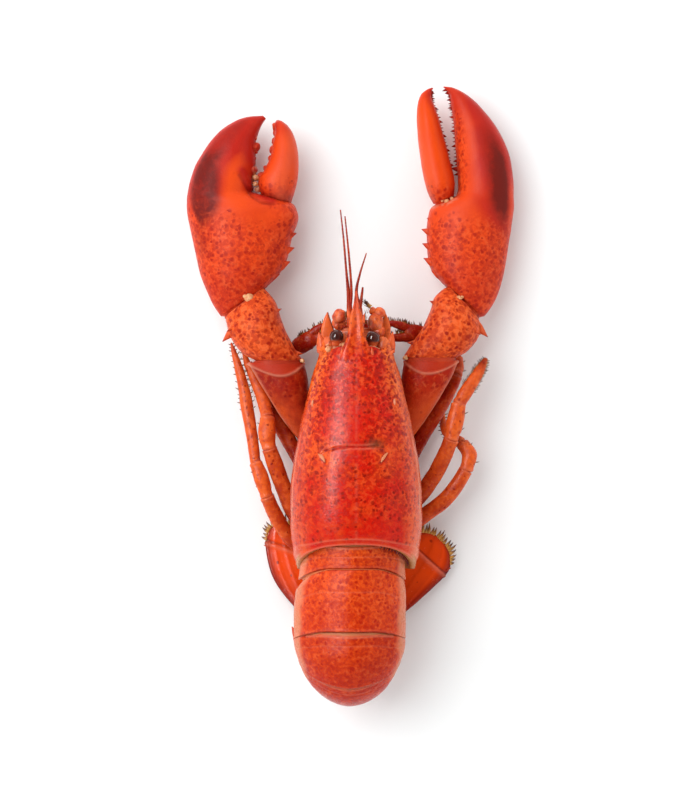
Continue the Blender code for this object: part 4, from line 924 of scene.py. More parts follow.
CRUSHER_MERUS = (
    (-45.9, 13.9, -20.8, 14.2, 20.0, 8.6, 8.4),
    (-42.6, 8.6, -19.4, 8.6, 20.0, 9.4, 8.8),
    (-38.9, 2.3, -18.4, 1.8, 19.6, 9.4, 8.8),
    (-34.9, -4.4, -16.6, -4.8, 18.0, 8.4, 8.2),
    (-30.8, -10.8, -14.6, -10.8, 16.4, 7.2, 7.2),
    (-26.8, -16.4, -12.8, -15.8, 14.6, 6.0, 6.0),
    (-23.4, -20.6, -11.4, -19.6, 13.6, 5.0, 5.2),
)
CUTTER_MERUS = (
    (24.0, 15.2, 48.2, 14.8, 20.0, 8.6, 8.4),
    (23.0, 8.8, 45.6, 8.4, 20.0, 9.4, 8.8),
    (22.2, 2.0, 42.1, 2.4, 19.6, 9.4, 8.8),
    (20.8, -4.8, 38.3, -4.4, 18.0, 8.4, 8.2),
    (19.4, -10.8, 33.8, -11.2, 16.4, 7.2, 7.2),
    (17.8, -15.8, 30.0, -16.8, 14.6, 6.0, 6.0),
    (16.6, -19.6, 27.0, -20.8, 13.6, 5.0, 5.2),
)
# thorns: share of the piece's length, turn round it (0 the right edge, 90 the top), reach, radius
CLAW_THORNS = {
    "crusher_palm": (
        (0.085, 12, 1.2, 1.6), (0.143, 12, 2.7, 2.7), (0.200, 12, 2.7, 2.7), (0.250, 12, 2.8, 2.8)),
    "cutter_palm": (
        (0.115, 168, 1.0, 2.2), (0.160, 168, 2.8, 2.5), (0.217, 168, 2.6, 2.5), (0.262, 168, 2.8, 2.5),
        (0.305, 168, 0.8, 1.8)),
    "crusher_carpus": (
        (0.20, 172, 4.2, 2.4), (0.14, 148, 2.4, 1.8), (0.80, 10, 2.4, 1.8), (0.28, 14, 2.0, 1.6)),
    "cutter_carpus": (
        (0.20, 8, 4.2, 2.4), (0.30, 32, 2.4, 1.6), (0.82, 170, 2.4, 1.8), (0.28, 166, 2.0, 1.6)),
}
THORN_ROOT = 4.0    # how deep a thorn's root sits inside the shell


def edge_place(rows, share, turn):
    """A surface point of a flattened piece, and the way out there; turn is in degrees."""
    x1, y1, x2, y2, level, above, below = row_at(rows, share)
    angle = radians(turn)
    half = np.array(((x2 - x1) / 2, (y2 - y1) / 2, 0.0))
    across, lift = section(angle, SECTION_POWER)
    place = np.array(((x1 + x2) / 2, (y1 + y2) / 2, level + lift * (above if lift > 0 else below)))
    out = unit(half) * cos(angle) + np.array((0.0, 0.0, sin(angle)))
    return place + half * across, out


def thorns_on(name, rows):
    """The thorns of a claw piece, each bent a little forward."""
    shells = []
    for share, turn, reach, radius in CLAW_THORNS[name]:
        place, out = edge_place(rows, share, turn)
        ahead = edge_place(rows, min(share + 0.03, 1.0), turn)[0] - place
        bend = unit(ahead) * reach
        inside = place - out * THORN_ROOT - bend * 0.1
        cone = thorn(inside, place + out * reach + bend * 0.4, radius, 15, 18)
        run = share_along(cone)
        shells.append((cone, {"red": 0.2 + 0.7 * ease(run, 0.5, 1.0), "pale": 0.10, "freckles": 0.5,
                              "dark": 0.6 * ease(run, 0.8, 1.0)}))
    return shells


def sharp_teeth(rows, side, first, last, count, reach):
    """A row of small sharp teeth on a biting edge, every fourth one larger."""
    shells = []
    darker = 0.35 + 0.5 * ease(np.linspace(0.0, 1.0, 6), 0.3, 0.9)[:, None]
    for k in range(count):
        share = first + (last - first) * k / (count - 1)
        big = 1.0 if k % 4 == 0 else chance.uniform(0.45, 0.75)
        place, out = edge_place(rows, share, 0.0 if side > 0 else 180.0)
        aside = np.array((0.0, chance.uniform(-0.5, 0.5), 0.0))
        tooth = thorn(place - out * 0.8, place + out * reach * big + aside, 0.8 * big, 6, 8)
        shells.append((tooth, {"red": 0.8, "dark": darker, "freckles": 0.0}))
    return shells


print("thorns on the crusher's palm:", len(thorns_on("crusher_palm", CRUSHER_PALM)))

# %% [markdown]
# Colour on the claws runs in zones: bright orange in the middle, red towards the finger tips, a
# dark maroon patch beside a thin red rim on the outer side, and freckles that crowd the palm's
# root and thin out towards the fingers. Each zone is a soft step in millimetres across the piece.

# %% The crusher's palm and thumb
# the red fold under the crusher's thumb, as points x y
CRUSHER_SHOULDER = ((-49.0, 100.0), (-46.0, 94.0), (-41.0, 89.0), (-35.0, 86.4))
# the crease below that fold
CRUSHER_CREASE = ((-49.6, 98.0), (-46.4, 92.2), (-44.2, 88.5), (-39.6, 85.3), (-34.5, 84.4))
# blunt grinding teeth: x, y, and the length across, along and high
CRUSHER_KNOBS = (
    (-43.6, 115.6, 3.4, 3.2, 4.6), (-43.4, 111.6, 5.4, 4.6, 7.0), (-43.1, 109.3, 2.8, 2.4, 4.0),
    (-44.6, 106.4, 4.2, 3.2, 6.0), (-43.9, 103.9, 2.6, 2.2, 4.0), (-44.3, 101.4, 5.2, 4.4, 8.0),
    (-43.9, 98.6, 3.4, 2.8, 5.0), (-45.6, 95.6, 4.4, 5.2, 7.0))
grid = weathered(rounded(flat_grid(stretched(CRUSHER_PALM, 1.6), 210, 120), 2.0, 0.0), 0.25)
# relief: the fold, its crease, and the swollen shoulder beside the thumb's hinge
fold = hill(distance_to(CRUSHER_SHOULDER, grid), 0.0, 2.0)
crease = hill(distance_to(CRUSHER_CREASE, grid), 0.0, 0.7)
on_top = grid[..., 2] > 14.0
swell = hill(np.hypot(grid[..., 0] + 28.8, (grid[..., 1] - 79.6) * 0.85), 0.0, 5.2)
grid = raised(grid, (0.8 * fold - 0.6 * crease) * on_top + 3.6 * swell)
x, y, z = xyz(grid)
outer, inner = x.min(axis=1, keepdims=True), x.max(axis=1, keepdims=True)
# the maroon patch: a soft edge inwards, a diagonal end below, and a rim that widens downwards
patch_edge = fade(x - 0.7 * np.maximum(y - 104.0, 0.0), -62.0, -55.5)
patch_end = ease(y - 0.8 * (x + 70.6), 67.0, 77.0) * (1.0 - 0.62 * ease(y, 104.0, 112.0))
patch_rim = ease(x - outer - 3.0 * fade(y, 74.0, 90.0), 0.8, 2.8)
patch = patch_edge * patch_end * patch_rim * (1.0 + 0.15 * lumps(grid, 6.0, 2.0))
below_patch = ease(x - outer, 1.0, 3.0) * fade(x, -67.0, -60.0) * hill(y, 66.0, 9.0)
crusher_marks = {
    "dark": 0.84 * patch * ease(z, 11.0, 15.0) + 0.34 * below_patch * ease(z, 13.0, 17.0)
    # painted shade in the crease under the fold
    + 0.35 * crease * on_top,
    "red": 0.22 + 0.9 * ease(y, 98.0, 116.0) + 0.9 * fold + 0.25 * fade(y, 40.0, 60.0)
    + 0.5 * fade(inner - x, 2.0, 7.0) * ease(y, 88.0, 93.0)
    + 0.8 * fade(x - outer, 12.0, 20.0) * ease(y, 78.0, 92.0)
    - 0.3 * hill(x, -51.0, 6.0) * hill(y, 92.0, 16.0),
    "pale": 0.02,
    "freckles": np.clip(1.05 - ease(y + 0.25 * (x + 50.0), 70.0, 84.0) + 0.8 * swell
                        + 0.5 * fade(inner - x, 1.0, 5.0) * (y < 92.0), 0.0, 1.0),
}
crusher_shells = [(grid, crusher_marks)] + thorns_on("crusher_palm", CRUSHER_PALM)
for k, (tx, ty, across, along, high) in enumerate(CRUSHER_KNOBS):
    knob = pebble((tx, ty, 14.8), (across, along, high), k * 3.1, 28, 0.24)
    crusher_shells.append((knob, {
        "red": 0.75, "pale": 0.05 + 1.2 * (lumps(knob, 1.8, k) + 0.04 * k).clip(0.0, 0.6), "freckles": 0.0,
        "dark": 0.45 * lumps(knob, 1.5, k + 4.0).clip(0.0, 1.0)}))
make_piece("crusher_palm_shell", crusher_shells, claw_shell, "claw shell", "crusher_palm")

grid = weathered(rounded(flat_grid(stretched(CRUSHER_THUMB, 3.4), 120, 80), 1.8, 0.0), 0.16)
x, y = xyz(grid)[:2]
inner = x.min(axis=1, keepdims=True)
thumb_shells = [(grid, {
    "red": 0.10 + 0.55 * ease(y, 112.0, 121.0) + 0.3 * fade(x - inner, 0.5, 3.0)
    + 0.35 * fade(y, 89.0, 95.0),
    "pale": 0.14 * hill(x - inner, 10.0, 5.0), "freckles": 0.55 * fade(y, 92.0, 101.0),
    "dark": 0.35 * fade(y, 88.0, 91.0)})]
for k in range(7):
    place, out = edge_place(CRUSHER_THUMB, 0.30 + 0.085 * k, 180.0)
    size = 2.2 if k % 3 else 3.2
    knob = pebble(place - out * 0.4 + (0.0, 0.0, -0.6), (size, size * 1.2, size * 1.5), k * 1.7)
    thumb_shells.append((knob, {"red": 0.7, "pale": 0.12, "freckles": 0.0}))
make_piece("crusher_thumb_shell", thumb_shells, claw_shell, "claw shell", "crusher_thumb")

# %% [markdown]
# The cutter is slimmer. Its maroon patch is a wedge that narrows towards the tip, and small sharp
# teeth, every fourth one larger, stand along both biting edges.

# %% The cutter's palm and thumb
# the pale edge of the palm below the thumb, as points x y
CUTTER_SHOULDER = ((36.7, 84.0), (39.3, 85.1), (42.7, 85.1), (46.8, 87.4), (48.3, 90.7))
grid = weathered(rounded(flat_grid(stretched(CUTTER_PALM, 1.6), 220, 120), 2.0, 0.0), 0.25)
x, y, z = xyz(grid)
outer, inner = x.max(axis=1, keepdims=True), x.min(axis=1, keepdims=True)
joint_edge = hill(distance_to(CUTTER_SHOULDER, grid), 0.0, 0.8) * (z > 14.0)
cutter_marks = {
    "dark": 1.12 * fade(outer - x, 4.5, 16.5) * ease(outer - x, 1.4, 5.0)
    * ease(y + 0.9 * (x - 66.0), 73.0, 88.0) * fade(y, 98.0, 128.0) * ease(z, 6.0, 11.0)
    + 0.3 * joint_edge * hill(y, 82.0, 4.0),
    "red": 0.16 + 0.6 * ease(x - inner, 6.0, 16.0) * ease(y, 88.0, 102.0) + 0.6 * ease(y, 112.0, 134.0)
    + 0.15 * fade(y, 50.0, 70.0)
    + 0.7 * ease(x, 50.0, 60.0) * ease(y + 0.9 * (x - 64.0), 70.0, 80.0)
    - 0.45 * fade(outer - x, 1.0, 3.4) * ease(y, 66.0, 76.0) * fade(y, 96.0, 112.0),
    "pale": 0.03 + 0.5 * joint_edge * (lumps(grid, 2.0, 3.0) > -0.15),
    "freckles": np.clip(
        1.0 - ease(y, 72.0, 84.0)
        + 0.9 * fade(x - inner, 2.0, 6.5) * ease(y, 86.0, 94.0)
        * fade(y, 124.0, 131.0), 0.0, 1.0),
}
cutter_shells = [(grid, cutter_marks)] + thorns_on("cutter_palm", CUTTER_PALM)
cutter_shells += sharp_teeth(CUTTER_PALM, -1, 0.56, 0.95, 34, 1.8)
place, out = edge_place(CUTTER_PALM, 0.575, 180.0)
big_tooth = thorn(place - out * 1.5, place + out * 3.0 + (0.0, 1.0, 0.0), 1.4)
cutter_shells.append((big_tooth, {"red": 0.8, "dark": 0.2}))
make_piece("cutter_palm_shell", cutter_shells, claw_shell, "claw shell", "cutter_palm")

grid = weathered(rounded(flat_grid(stretched(CUTTER_THUMB, 3.4), 140, 80), 1.8, 0.0), 0.16)
x, y = xyz(grid)[:2]
inner = x.max(axis=1, keepdims=True)
cutter_thumb_shells = [(grid, {
    "red": 0.02 + 0.4 * ease(y, 126.0, 137.0) + 0.45 * fade(inner - x, 0.5, 4.5)
    + 0.3 * fade(y, 89.0, 95.0),
    "pale": 0.16 * ease(inner - x, 7.0, 12.0), "freckles": 0.7 * fade(y, 91.0, 97.0)})]
cutter_thumb_shells += sharp_teeth(CUTTER_THUMB, 1, 0.30, 0.90, 28, 1.5)
make_piece("cutter_thumb_shell", cutter_thumb_shells, claw_shell, "claw shell", "cutter_thumb")

# %% [markdown]
# ## The arms of the claws
# Behind each palm comes a knobbly, freckled wrist piece and then a wedge-shaped arm piece. The
# arm's far end has a smooth crescent, edged by a pale ridge, over which the wrist slides. The
# crescent is relief and colour worked out from the distance to the arm's end.

# %% Wrist and arm pieces
for name, rows, seed in (("crusher_carpus", CRUSHER_CARPUS, 0.0), ("cutter_carpus", CUTTER_CARPUS, 7.0)):
    grid = rounded(flat_grid(stretched(rows, 1.8, 0.8), 90, 110), 1.0, 1.0)
    grid = raised(grid, 0.30 * lumps(grid, 7.0, seed) + 0.05 * lumps(grid, 1.6, seed))
    run = share_along(grid)
    marks = {"red": 0.10 + 0.35 * lumps(grid, 9.0, seed + 2.0), "freckles": 1.0,
             "pale": 0.25 * hill(run, 1.0, 0.03) + 0.15 * hill(run, 0.0, 0.04)}
    make_piece(name + "_shell", [(grid, marks)] + thorns_on(name, rows), wrist_shell, "claw shell", name)

for name, rows, side in (("crusher_merus", CRUSHER_MERUS, -1.0), ("cutter_merus", CUTTER_MERUS, 1.0)):
    grid = rounded(flat_grid(stretched(rows, 0.6), 100, 96), 0.8, 1.5)
    x, y, z = xyz(grid)
    low, high = x.min(axis=1, keepdims=True), x.max(axis=1, keepdims=True)
    across = (2.0 * x - low - high) / np.maximum(high - low, 0.1)
    run = y.max() - y
    crescent = 5.4 * (1.0 - across ** 2) + 0.6
    upper = z > row_at(rows, 0.5)[4]
    smooth = fade(run - crescent, -0.5, 0.1) * upper
    ridge = hill(run, crescent + 0.5, 0.55) * upper
    edge = hill(across, 0.95 * side, 0.05) * upper
    grid = raised(grid, 0.45 * ridge + 0.25 * edge - 0.25 * smooth + 0.2 * lumps(grid, 9.0, 3.0))
    far = ease(run, 5.0, 22.0)
    deeper = 0.30 if side < 0.0 else 0.0
    marks = {"red": 0.70 + 0.30 * smooth + 0.35 * (1.0 - far) - 0.55 * far * ease(side * across, 0.0, 0.9),
             "pale": np.clip(0.55 * ridge + 0.45 * edge + 0.03 * smooth, 0.0, 1.0),
             "freckles": (1.0 - smooth) * (1.0 - 0.85 * ease(run, 9.0, 20.0)),
             "dark": deeper * (1.0 - smooth) + 0.30 * far * ease(-side * across, 0.0, 0.9)}
    make_piece(name + "_shell", [(grid, marks)], wrist_shell, "claw shell", name)

# %% [markdown]
# ## Joint skin
# Between two pieces of shell the animal has a soft skin. Boiled, it is cream to tan and a little
# wet: folds with a soft gloss, index about 1.4. Where a joint has torn, it shows as small pale
# lumps. Deeper in, a short sleeve tinted like the shell reaches into both pieces, so that no
# joint can be seen through.

# %% Sleeves inside the joints, and lumps of skin at the claws
# lumps of skin: middle x y z, and size
SKIN_LUMPS = (
    (-34.6, 86.9, 21.0, 2.4), (-32.2, 86.4, 21.6, 3.2), (-30.2, 86.0, 21.0, 2.2),
    (-35.8, 87.6, 19.0, 1.8), (-42.4, 97.2, 17.5, 3.4), (-42.7, 94.4, 18.8, 2.6),
    (-43.4, 99.9, 16.8, 2.0), (-41.4, 92.2, 17.4, 3.0), (-45.4, 42.9, 25.4, 4.4),
    (-43.9, 41.0, 25.0, 3.0), (-46.8, 44.0, 24.8, 2.8), (-43.4, 39.2, 24.2, 2.2),
    (48.2, 42.9, 24.4, 2.8), (46.9, 41.4, 24.0, 2.2), (49.8, 43.4, 23.6, 1.8),
    (46.0, 39.8, 23.4, 1.7), (43.0, 86.6, 20.6, 2.2), (41.2, 87.0, 19.8, 1.6),
    (45.4, 87.8, 19.4, 1.7), (-21.4, 15.0, 24.6, 2.2), (24.4, 16.4, 24.6, 2.4))
joint_skin, tree, shader, place = new_finish("boiled joint skin")
streaks = cloudy(tree, place, 2.5, 4.0, 0.65)["Fac"]
folds = add(tree, "Bump", {"Height": streaks, "Strength": 0.6, "Distance": 0.0006})
# streaks of tan and cream, and small folds that break the gloss up into points of light
fill(tree, shader, {
    "Base Color": blend(tree, ramp(tree, streaks, 0.35, 0.68), "B5532E", "E8B983"),
    "Normal": folds.outputs["Normal"], "Roughness": 0.42, "IOR": 1.4})


def shrunk(ring, keep):
    """The ring drawn in towards its middle to a share of its size."""
    centre = ring.mean(axis=0)
    return centre + (ring - centre) * keep


def sleeve(rings, keep):
    """A tube through a few rings, each drawn in, with evenly spread stations."""
    rings = np.array([shrunk(ring, keep) for ring in rings])
    shares = np.linspace(0.0, len(rings) - 1.0, 14)
    low = np.minimum(shares.astype(int), len(rings) - 2)
    part = (shares - low)[:, None, None]
    grid = rings[low] * (1.0 - part) + rings[low + 1] * part
    return raised(grid, 0.18 * lumps(grid, 2.5))


def flat_joint(rows_a, shares_a, rows_b, shares_b):
    """The rings at some shares of two flattened pieces that meet at a joint."""
    grid_a, grid_b = flat_grid(rows_a, 101, 48), flat_grid(rows_b, 101, 48)
    return [grid_a[int(100 * s)] for s in shares_a] + [grid_b[int(100 * s)] for s in shares_b]


# the sleeves behind the palms are darkened as painted shade inside the joints
sleeve_marks = {"red": 0.8, "dark": 0.34, "freckles": 0.6}
crease_marks = {"red": 0.95, "pale": 0.08, "freckles": 0.0}
sleeve_shells = [
    (sleeve(flat_joint(CRUSHER_PALM, (0.10, 0.02), CRUSHER_CARPUS, (0.02, 0.12)), 0.93), sleeve_marks),
    (sleeve(flat_joint(CUTTER_PALM, (0.08, 0.02), CUTTER_CARPUS, (0.02, 0.12)), 0.93), sleeve_marks),
    (sleeve(flat_joint(CRUSHER_CARPUS, (0.85, 0.98), CRUSHER_MERUS, (0.02, 0.12)), 0.97), crease_marks),
    (sleeve(flat_joint(CUTTER_CARPUS, (0.85, 0.98), CUTTER_MERUS, (0.02, 0.12)), 0.97), crease_marks),
]
make_piece("claw_joint_sleeves", sleeve_shells, wrist_shell, "claw shell")
tail_sleeves = []
for ahead, behind in zip(tail_grids[:-1], tail_grids[1:]):
    rings = [ahead[-8], ahead[-3], behind[2], behind[7]]
    tail_sleeves.append((sleeve(rings, 0.94), {"red": 0.4, "pale": 0.3, "skin": 0.4, "freckles": 0.0}))
# the last sleeve reaches forward over the roots of the fan's blades
last = tail_grids[-1]
rings = [last[-8], last[-3], last[-3] + (0.0, 2.2, 0.0), shrunk(last[-3], 0.84) + (0.0, 5.0, 0.0)]
tail_sleeves.append((sleeve(rings, 0.94), {"red": 0.5, "pale": 0.25, "dark": 0.15, "freckles": 0.0}))
make_piece("tail_joint_sleeves", tail_sleeves, tail_shell, "tail shell")
skin_shells = []
for k, (cx, cy, cz, size) in enumerate(SKIN_LUMPS):
    skin_shells.append((pebble((cx, cy, cz), (size, size * 0.9, size * 0.7), k * 2.3), {}))
make_piece("claw_joint_skin", skin_shells, joint_skin, "limb shell")

# %% [markdown]
# ## The walking legs
# Four legs a side lie folded along the body: three pieces each, more orange than the claws, with
# a swollen collar at each joint. The front pair end in small pincers. Short dark bristles stand
# along the feet. The legs are lofts along a bent line; each bristle is a thin cone.

# %% Rows of the legs
LEGS = {
    "leg_1_left": {
        "merus": (
            (-13.5, -32.5, 9.0, 6.0, 5.0), (-16.4, -27.0, 6.4, 6.0, 4.6),
            (-19.6, -19.0, 5.0, 6.2, 4.4), (-24.0, -6.0, 4.8, 6.4, 4.4), (-29.4, 11.0, 4.6, 6.2, 4.4)),
        "carpus": (
            (-30.2, 12.6, 4.7, 5.4, 4.6), (-29.8, 16.4, 5.6, 6.4, 5.0), (-27.4, 19.2, 6.8, 5.4, 4.8)),
        "palm": (
            (-26.2, 20.2, 7.6, 5.0, 4.8), (-22.6, 22.2, 10.2, 8.0, 5.8), (-18.6, 24.4, 12.6, 8.4, 5.8),
            (-15.4, 25.2, 13.3, 5.0, 4.0), (-11.6, 27.4, 14.0, 3.2, 2.8), (-8.4, 30.2, 14.4, 0.9, 0.9)),
        "finger": (
            (-18.8, 26.4, 12.8, 4.0, 3.8), (-16.8, 28.0, 13.6, 4.0, 3.4),
            (-13.2, 30.6, 14.4, 3.0, 2.6), (-9.6, 32.4, 14.8, 0.9, 0.9)),
    },
    "leg_1_right": {
        "merus": (
            (19.0, -32.0, 9.0, 6.0, 5.0), (21.6, -26.0, 6.4, 6.0, 4.6),
            (25.0, -18.0, 5.0, 6.2, 4.4), (30.4, -5.0, 4.8, 6.4, 4.4), (38.2, 13.0, 4.6, 6.2, 4.4)),
        "carpus": (
            (38.9, 14.8, 4.7, 5.4, 4.6), (39.6, 19.2, 5.6, 6.4, 5.0), (38.0, 23.0, 6.6, 5.4, 4.8)),
        "palm": (
            (36.8, 24.2, 7.3, 5.0, 4.8), (32.6, 26.4, 9.6, 8.2, 5.8), (28.0, 27.4, 12.0, 8.8, 5.8),
            (24.6, 25.8, 12.8, 4.6, 4.0), (20.0, 25.6, 13.2, 3.6, 3.0), (15.6, 26.2, 13.6, 0.9, 0.9)),
        "finger": (
            (27.4, 29.0, 12.4, 4.2, 3.8), (24.6, 30.4, 13.2, 4.2, 3.4),
            (20.4, 31.6, 14.0, 3.4, 2.8), (15.6, 32.8, 14.6, 0.9, 0.9)),
    },
    "leg_2_left": {
        "merus": (
            (-17.0, -42.5, 10.0, 6.0, 5.2), (-22.7, -30.5, 10.2, 6.4, 5.6), (-28.1, -20.5, 10.2, 6.8, 5.6),
            (-33.1, -11.5, 9.8, 6.8, 5.6), (-37.0, -3.4, 9.2, 6.2, 5.4)),
        "carpus": (
            (-37.7, -1.6, 8.8, 5.4, 5.0), (-38.6, 2.2, 7.2, 6.0, 5.0), (-38.8, 5.6, 6.0, 5.2, 4.6)),
        "foot": (
            (-38.9, 7.4, 5.4, 4.6, 4.4), (-38.9, 12.0, 4.0, 4.4, 4.0), (-38.4, 18.0, 3.0, 3.2, 3.0),
            (-37.4, 25.5, 2.2, 0.9, 0.9)),
    },
    "leg_2_right": {
        "merus": (
            (21.0, -42.0, 10.0, 6.0, 5.2), (28.2, -26.6, 10.6, 6.6, 5.8), (33.7, -16.2, 11.4, 7.0, 5.8),
            (39.8, -6.2, 12.2, 7.2, 5.8), (44.6, 2.6, 12.8, 6.8, 5.6), (46.9, 7.6, 13.0, 6.4, 5.6)),
        "carpus": (
            (47.5, 9.2, 12.4, 5.4, 5.2), (48.4, 12.6, 9.2, 5.8, 5.0), (48.2, 15.6, 6.2, 5.0, 4.6)),
        "foot": (
            (47.9, 17.0, 5.2, 4.4, 4.4), (46.8, 21.0, 3.8, 4.2, 3.8), (44.8, 26.0, 2.9, 3.0, 2.8),
            (41.8, 32.0, 2.2, 0.9, 0.9)),
    },
    "leg_3_left": {
        "merus": (
            (-19.5, -61.5, 11.0, 6.2, 5.2), (-25.9, -53.0, 13.4, 6.8, 5.6), (-29.9, -42.5, 16.0, 7.2, 5.8),
            (-33.4, -32.6, 18.6, 7.4, 5.8), (-36.0, -25.2, 20.2, 6.6, 5.6)),
        "carpus": (
            (-36.5, -23.6, 20.5, 5.8, 5.4), (-37.4, -17.0, 20.4, 8.0, 6.4), (-37.2, -11.0, 18.8, 6.2, 5.4)),
        "foot": (
            (-37.6, -9.2, 18.0, 5.8, 5.0), (-38.9, -3.4, 15.4, 6.0, 4.8), (-41.6, 3.2, 13.0, 5.2, 4.4),
            (-44.0, 8.6, 11.2, 4.4, 4.0), (-46.4, 13.8, 9.8, 3.4, 3.2), (-48.8, 20.0, 8.4, 0.9, 0.9)),
    },
    "leg_3_right": {
        "merus": (
            (22.0, -55.0, 11.0, 6.2, 5.2), (27.2, -50.0, 12.6, 6.8, 5.6), (32.6, -43.8, 15.0, 7.2, 5.8),
            (38.2, -35.4, 18.6, 7.2, 5.8), (41.8, -28.0, 21.4, 7.0, 5.8), (44.7, -20.8, 23.8, 6.6, 5.6)),
        "carpus": (
            (45.2, -19.2, 24.2, 5.8, 5.4), (46.8, -12.2, 24.6, 7.8, 6.4), (48.2, -5.2, 23.6, 6.4, 5.4)),
        "foot": (
            (48.8, -3.8, 23.0, 5.8, 5.0), (52.0, 1.6, 22.0, 6.2, 4.8), (55.6, 7.0, 20.6, 5.4, 4.4),
            (58.4, 11.6, 19.2, 4.4, 3.8), (60.9, 16.2, 18.0, 1.6, 1.6)),
    },
    "leg_4_left": {
        "merus": (
            (-19.5, -72.0, 11.0, 6.0, 5.2), (-27.0, -65.2, 12.8, 6.2, 5.4), (-32.6, -56.5, 15.4, 6.6, 5.6),
            (-37.1, -46.6, 18.2, 6.2, 5.4)),
        "carpus": (
            (-37.7, -45.0, 18.6, 5.4, 5.2), (-39.8, -38.0, 19.2, 6.8, 6.0), (-42.2, -31.4, 18.8, 5.6, 5.2)),
        "foot": (
            (-42.7, -29.8, 18.4, 4.8, 4.8), (-44.6, -16.4, 16.2, 5.4, 4.8), (-46.8, -4.6, 14.2, 5.8, 4.8),
            (-47.8, 1.6, 13.0, 5.2, 4.4), (-50.2, 11.2, 11.0, 4.0, 3.6), (-52.6, 19.0, 9.4, 2.4, 2.4),
            (-53.9, 23.4, 8.6, 0.8, 0.8)),
    },
    "leg_4_right": {
        "merus": (
            (21.5, -66.0, 11.0, 6.0, 5.2), (26.6, -60.0, 12.2, 6.4, 5.4), (32.6, -54.9, 14.0, 6.8, 5.6),
            (41.4, -48.2, 16.6, 6.8, 5.6), (47.2, -41.4, 18.2, 6.6, 5.6), (51.2, -34.8, 19.0, 6.2, 5.4)),
        "carpus": (
            (52.1, -33.3, 19.1, 5.6, 5.2), (53.4, -27.4, 18.4, 6.8, 5.8), (50.6, -22.6, 16.6, 5.4, 5.0)),
        "foot": (
            (49.4, -21.6, 15.8, 4.8, 4.6), (45.0, -18.2, 12.4, 4.8, 4.4), (42.4, -15.0, 9.2, 3.8, 3.6),
            (42.0, -11.2, 5.6, 2.4, 2.4), (42.4, -7.0, 2.4, 0.9, 0.9)),
    },
}
print("pieces of legs:", sum(len(pieces) for pieces in LEGS.values()))

# %% [markdown]
# Each piece is lofted, rounded at its joints and given a raised collar there, and a sleeve closes
# each joint. Bristles lean out and forward by chance, so no two stand alike.

# %% The legs, their joints and bristles
# how red each pair of legs is, from the front pair to the rear pair; the front two pairs are painted redder
# as shade, where they lie under the claws
LEG_REDNESS_AND_SHADE = {"1": 0.95, "2": 0.60, "3": 0.15, "4": 0.15}
# bristles on each side of a foot, where it has more than the usual number
USUAL_BRISTLES = 9
MORE_BRISTLES = {"leg_3_right": 22, "leg_4_left": 13}
leg_bristles = []
leg_joints = []


def bristle(root, out, length, radius=0.34, shade=0.4):
    """A thin bent cone, darker towards its tip; shade is how dark its root is."""
    root, out = np.array(root, dtype=float), unit(np.array(out, dtype=float))
    bend = np.array((0.0, 0.12 * length, 0.05 * length))
    rows = [(*root, 2 * radius, 2 * radius), (*(root + out * length * 0.5), 1.4 * radius, 1.4 * radius),
            (*(root + out * length + bend), 0.08, 0.08)]
    grid = limb_grid(rows, 5, 5)
    return grid, {"dark": np.linspace(shade, 1.0, len(grid))[:, None]}


def bristles_on(rows, shares, side, length, lift=0.25):
    """Bristles along one margin of a limb; side is 1 for its right and -1 for its left."""
    shells = []
    for share in shares:
        here, ahead = row_at(rows, share), row_at(rows, min(share + 0.02, 1.0)) - row_at(rows, share - 0.02)
        way = unit(ahead[:3])
        out = unit(np.cross(way, (0.0, 0.0, 1.0)) * side)
        root = here[:3] + out * here[3] * 0.44 + (0.0, 0.0, chance.uniform(-0.3, 0.3) * here[4])
        lean = out + way * chance.uniform(0.2, 0.7) + np.array((0.0, 0.0, lift * chance.uniform(0.0, 1.0)))
        shells.append(bristle(root, lean, length * chance.uniform(0.5, 1.15)))
    return shells


def leg_piece(rows, along, first, last, red, seed, spots=()):
    """A leg piece with a collar at each rounded end, and dark dots at some spots."""
    grid = rounded(limb_grid(rows, along, 36), first, last)
    run = share_along(grid)
    length = np.linalg.norm(grid[-1].mean(axis=0) - grid[0].mean(axis=0))

    def near_joints(away, wide):
        """1 at so many millimetres from the ends that meet another piece."""
        return (hill(run * length, away, wide) * bool(first)
                + hill((1.0 - run) * length, away, wide) * bool(last))

    collar = near_joints(1.5, 0.8)
    grid = raised(grid, 0.22 * collar - 0.12 * hill(run * length, 3.4, 0.7) + 0.14 * lumps(grid, 4.0, seed))
    x, y = xyz(grid)[:2]
    dotted = sum(np.hypot(x - sx, y - sy) < 0.42 for sx, sy in spots) if len(spots) else 0.0
    ends = near_joints(0.2, 0.5)
    marks = {"red": red + 0.25 * lumps(grid, 6.0, seed + 4.0), "pale": 0.18 * collar,
             "freckles": 0.55, "dark": 0.8 * np.minimum(dotted, 1.0) + 0.45 * ends}
    return grid, marks


def limb_joint(rows_a, rows_b):
    """A sleeve of skin from the end of one leg piece to the start of the next."""
    grid_a, grid_b = limb_grid(rows_a, 41, 20), limb_grid(rows_b, 41, 20)
    rings = [grid_a[35], grid_a[39], grid_b[1], grid_b[5]]
    # darkened a little as painted shade inside the joint
    return sleeve(rings, 0.93), {"red": 0.7, "pale": 0.15, "dark": 0.22, "freckles": 0.0}


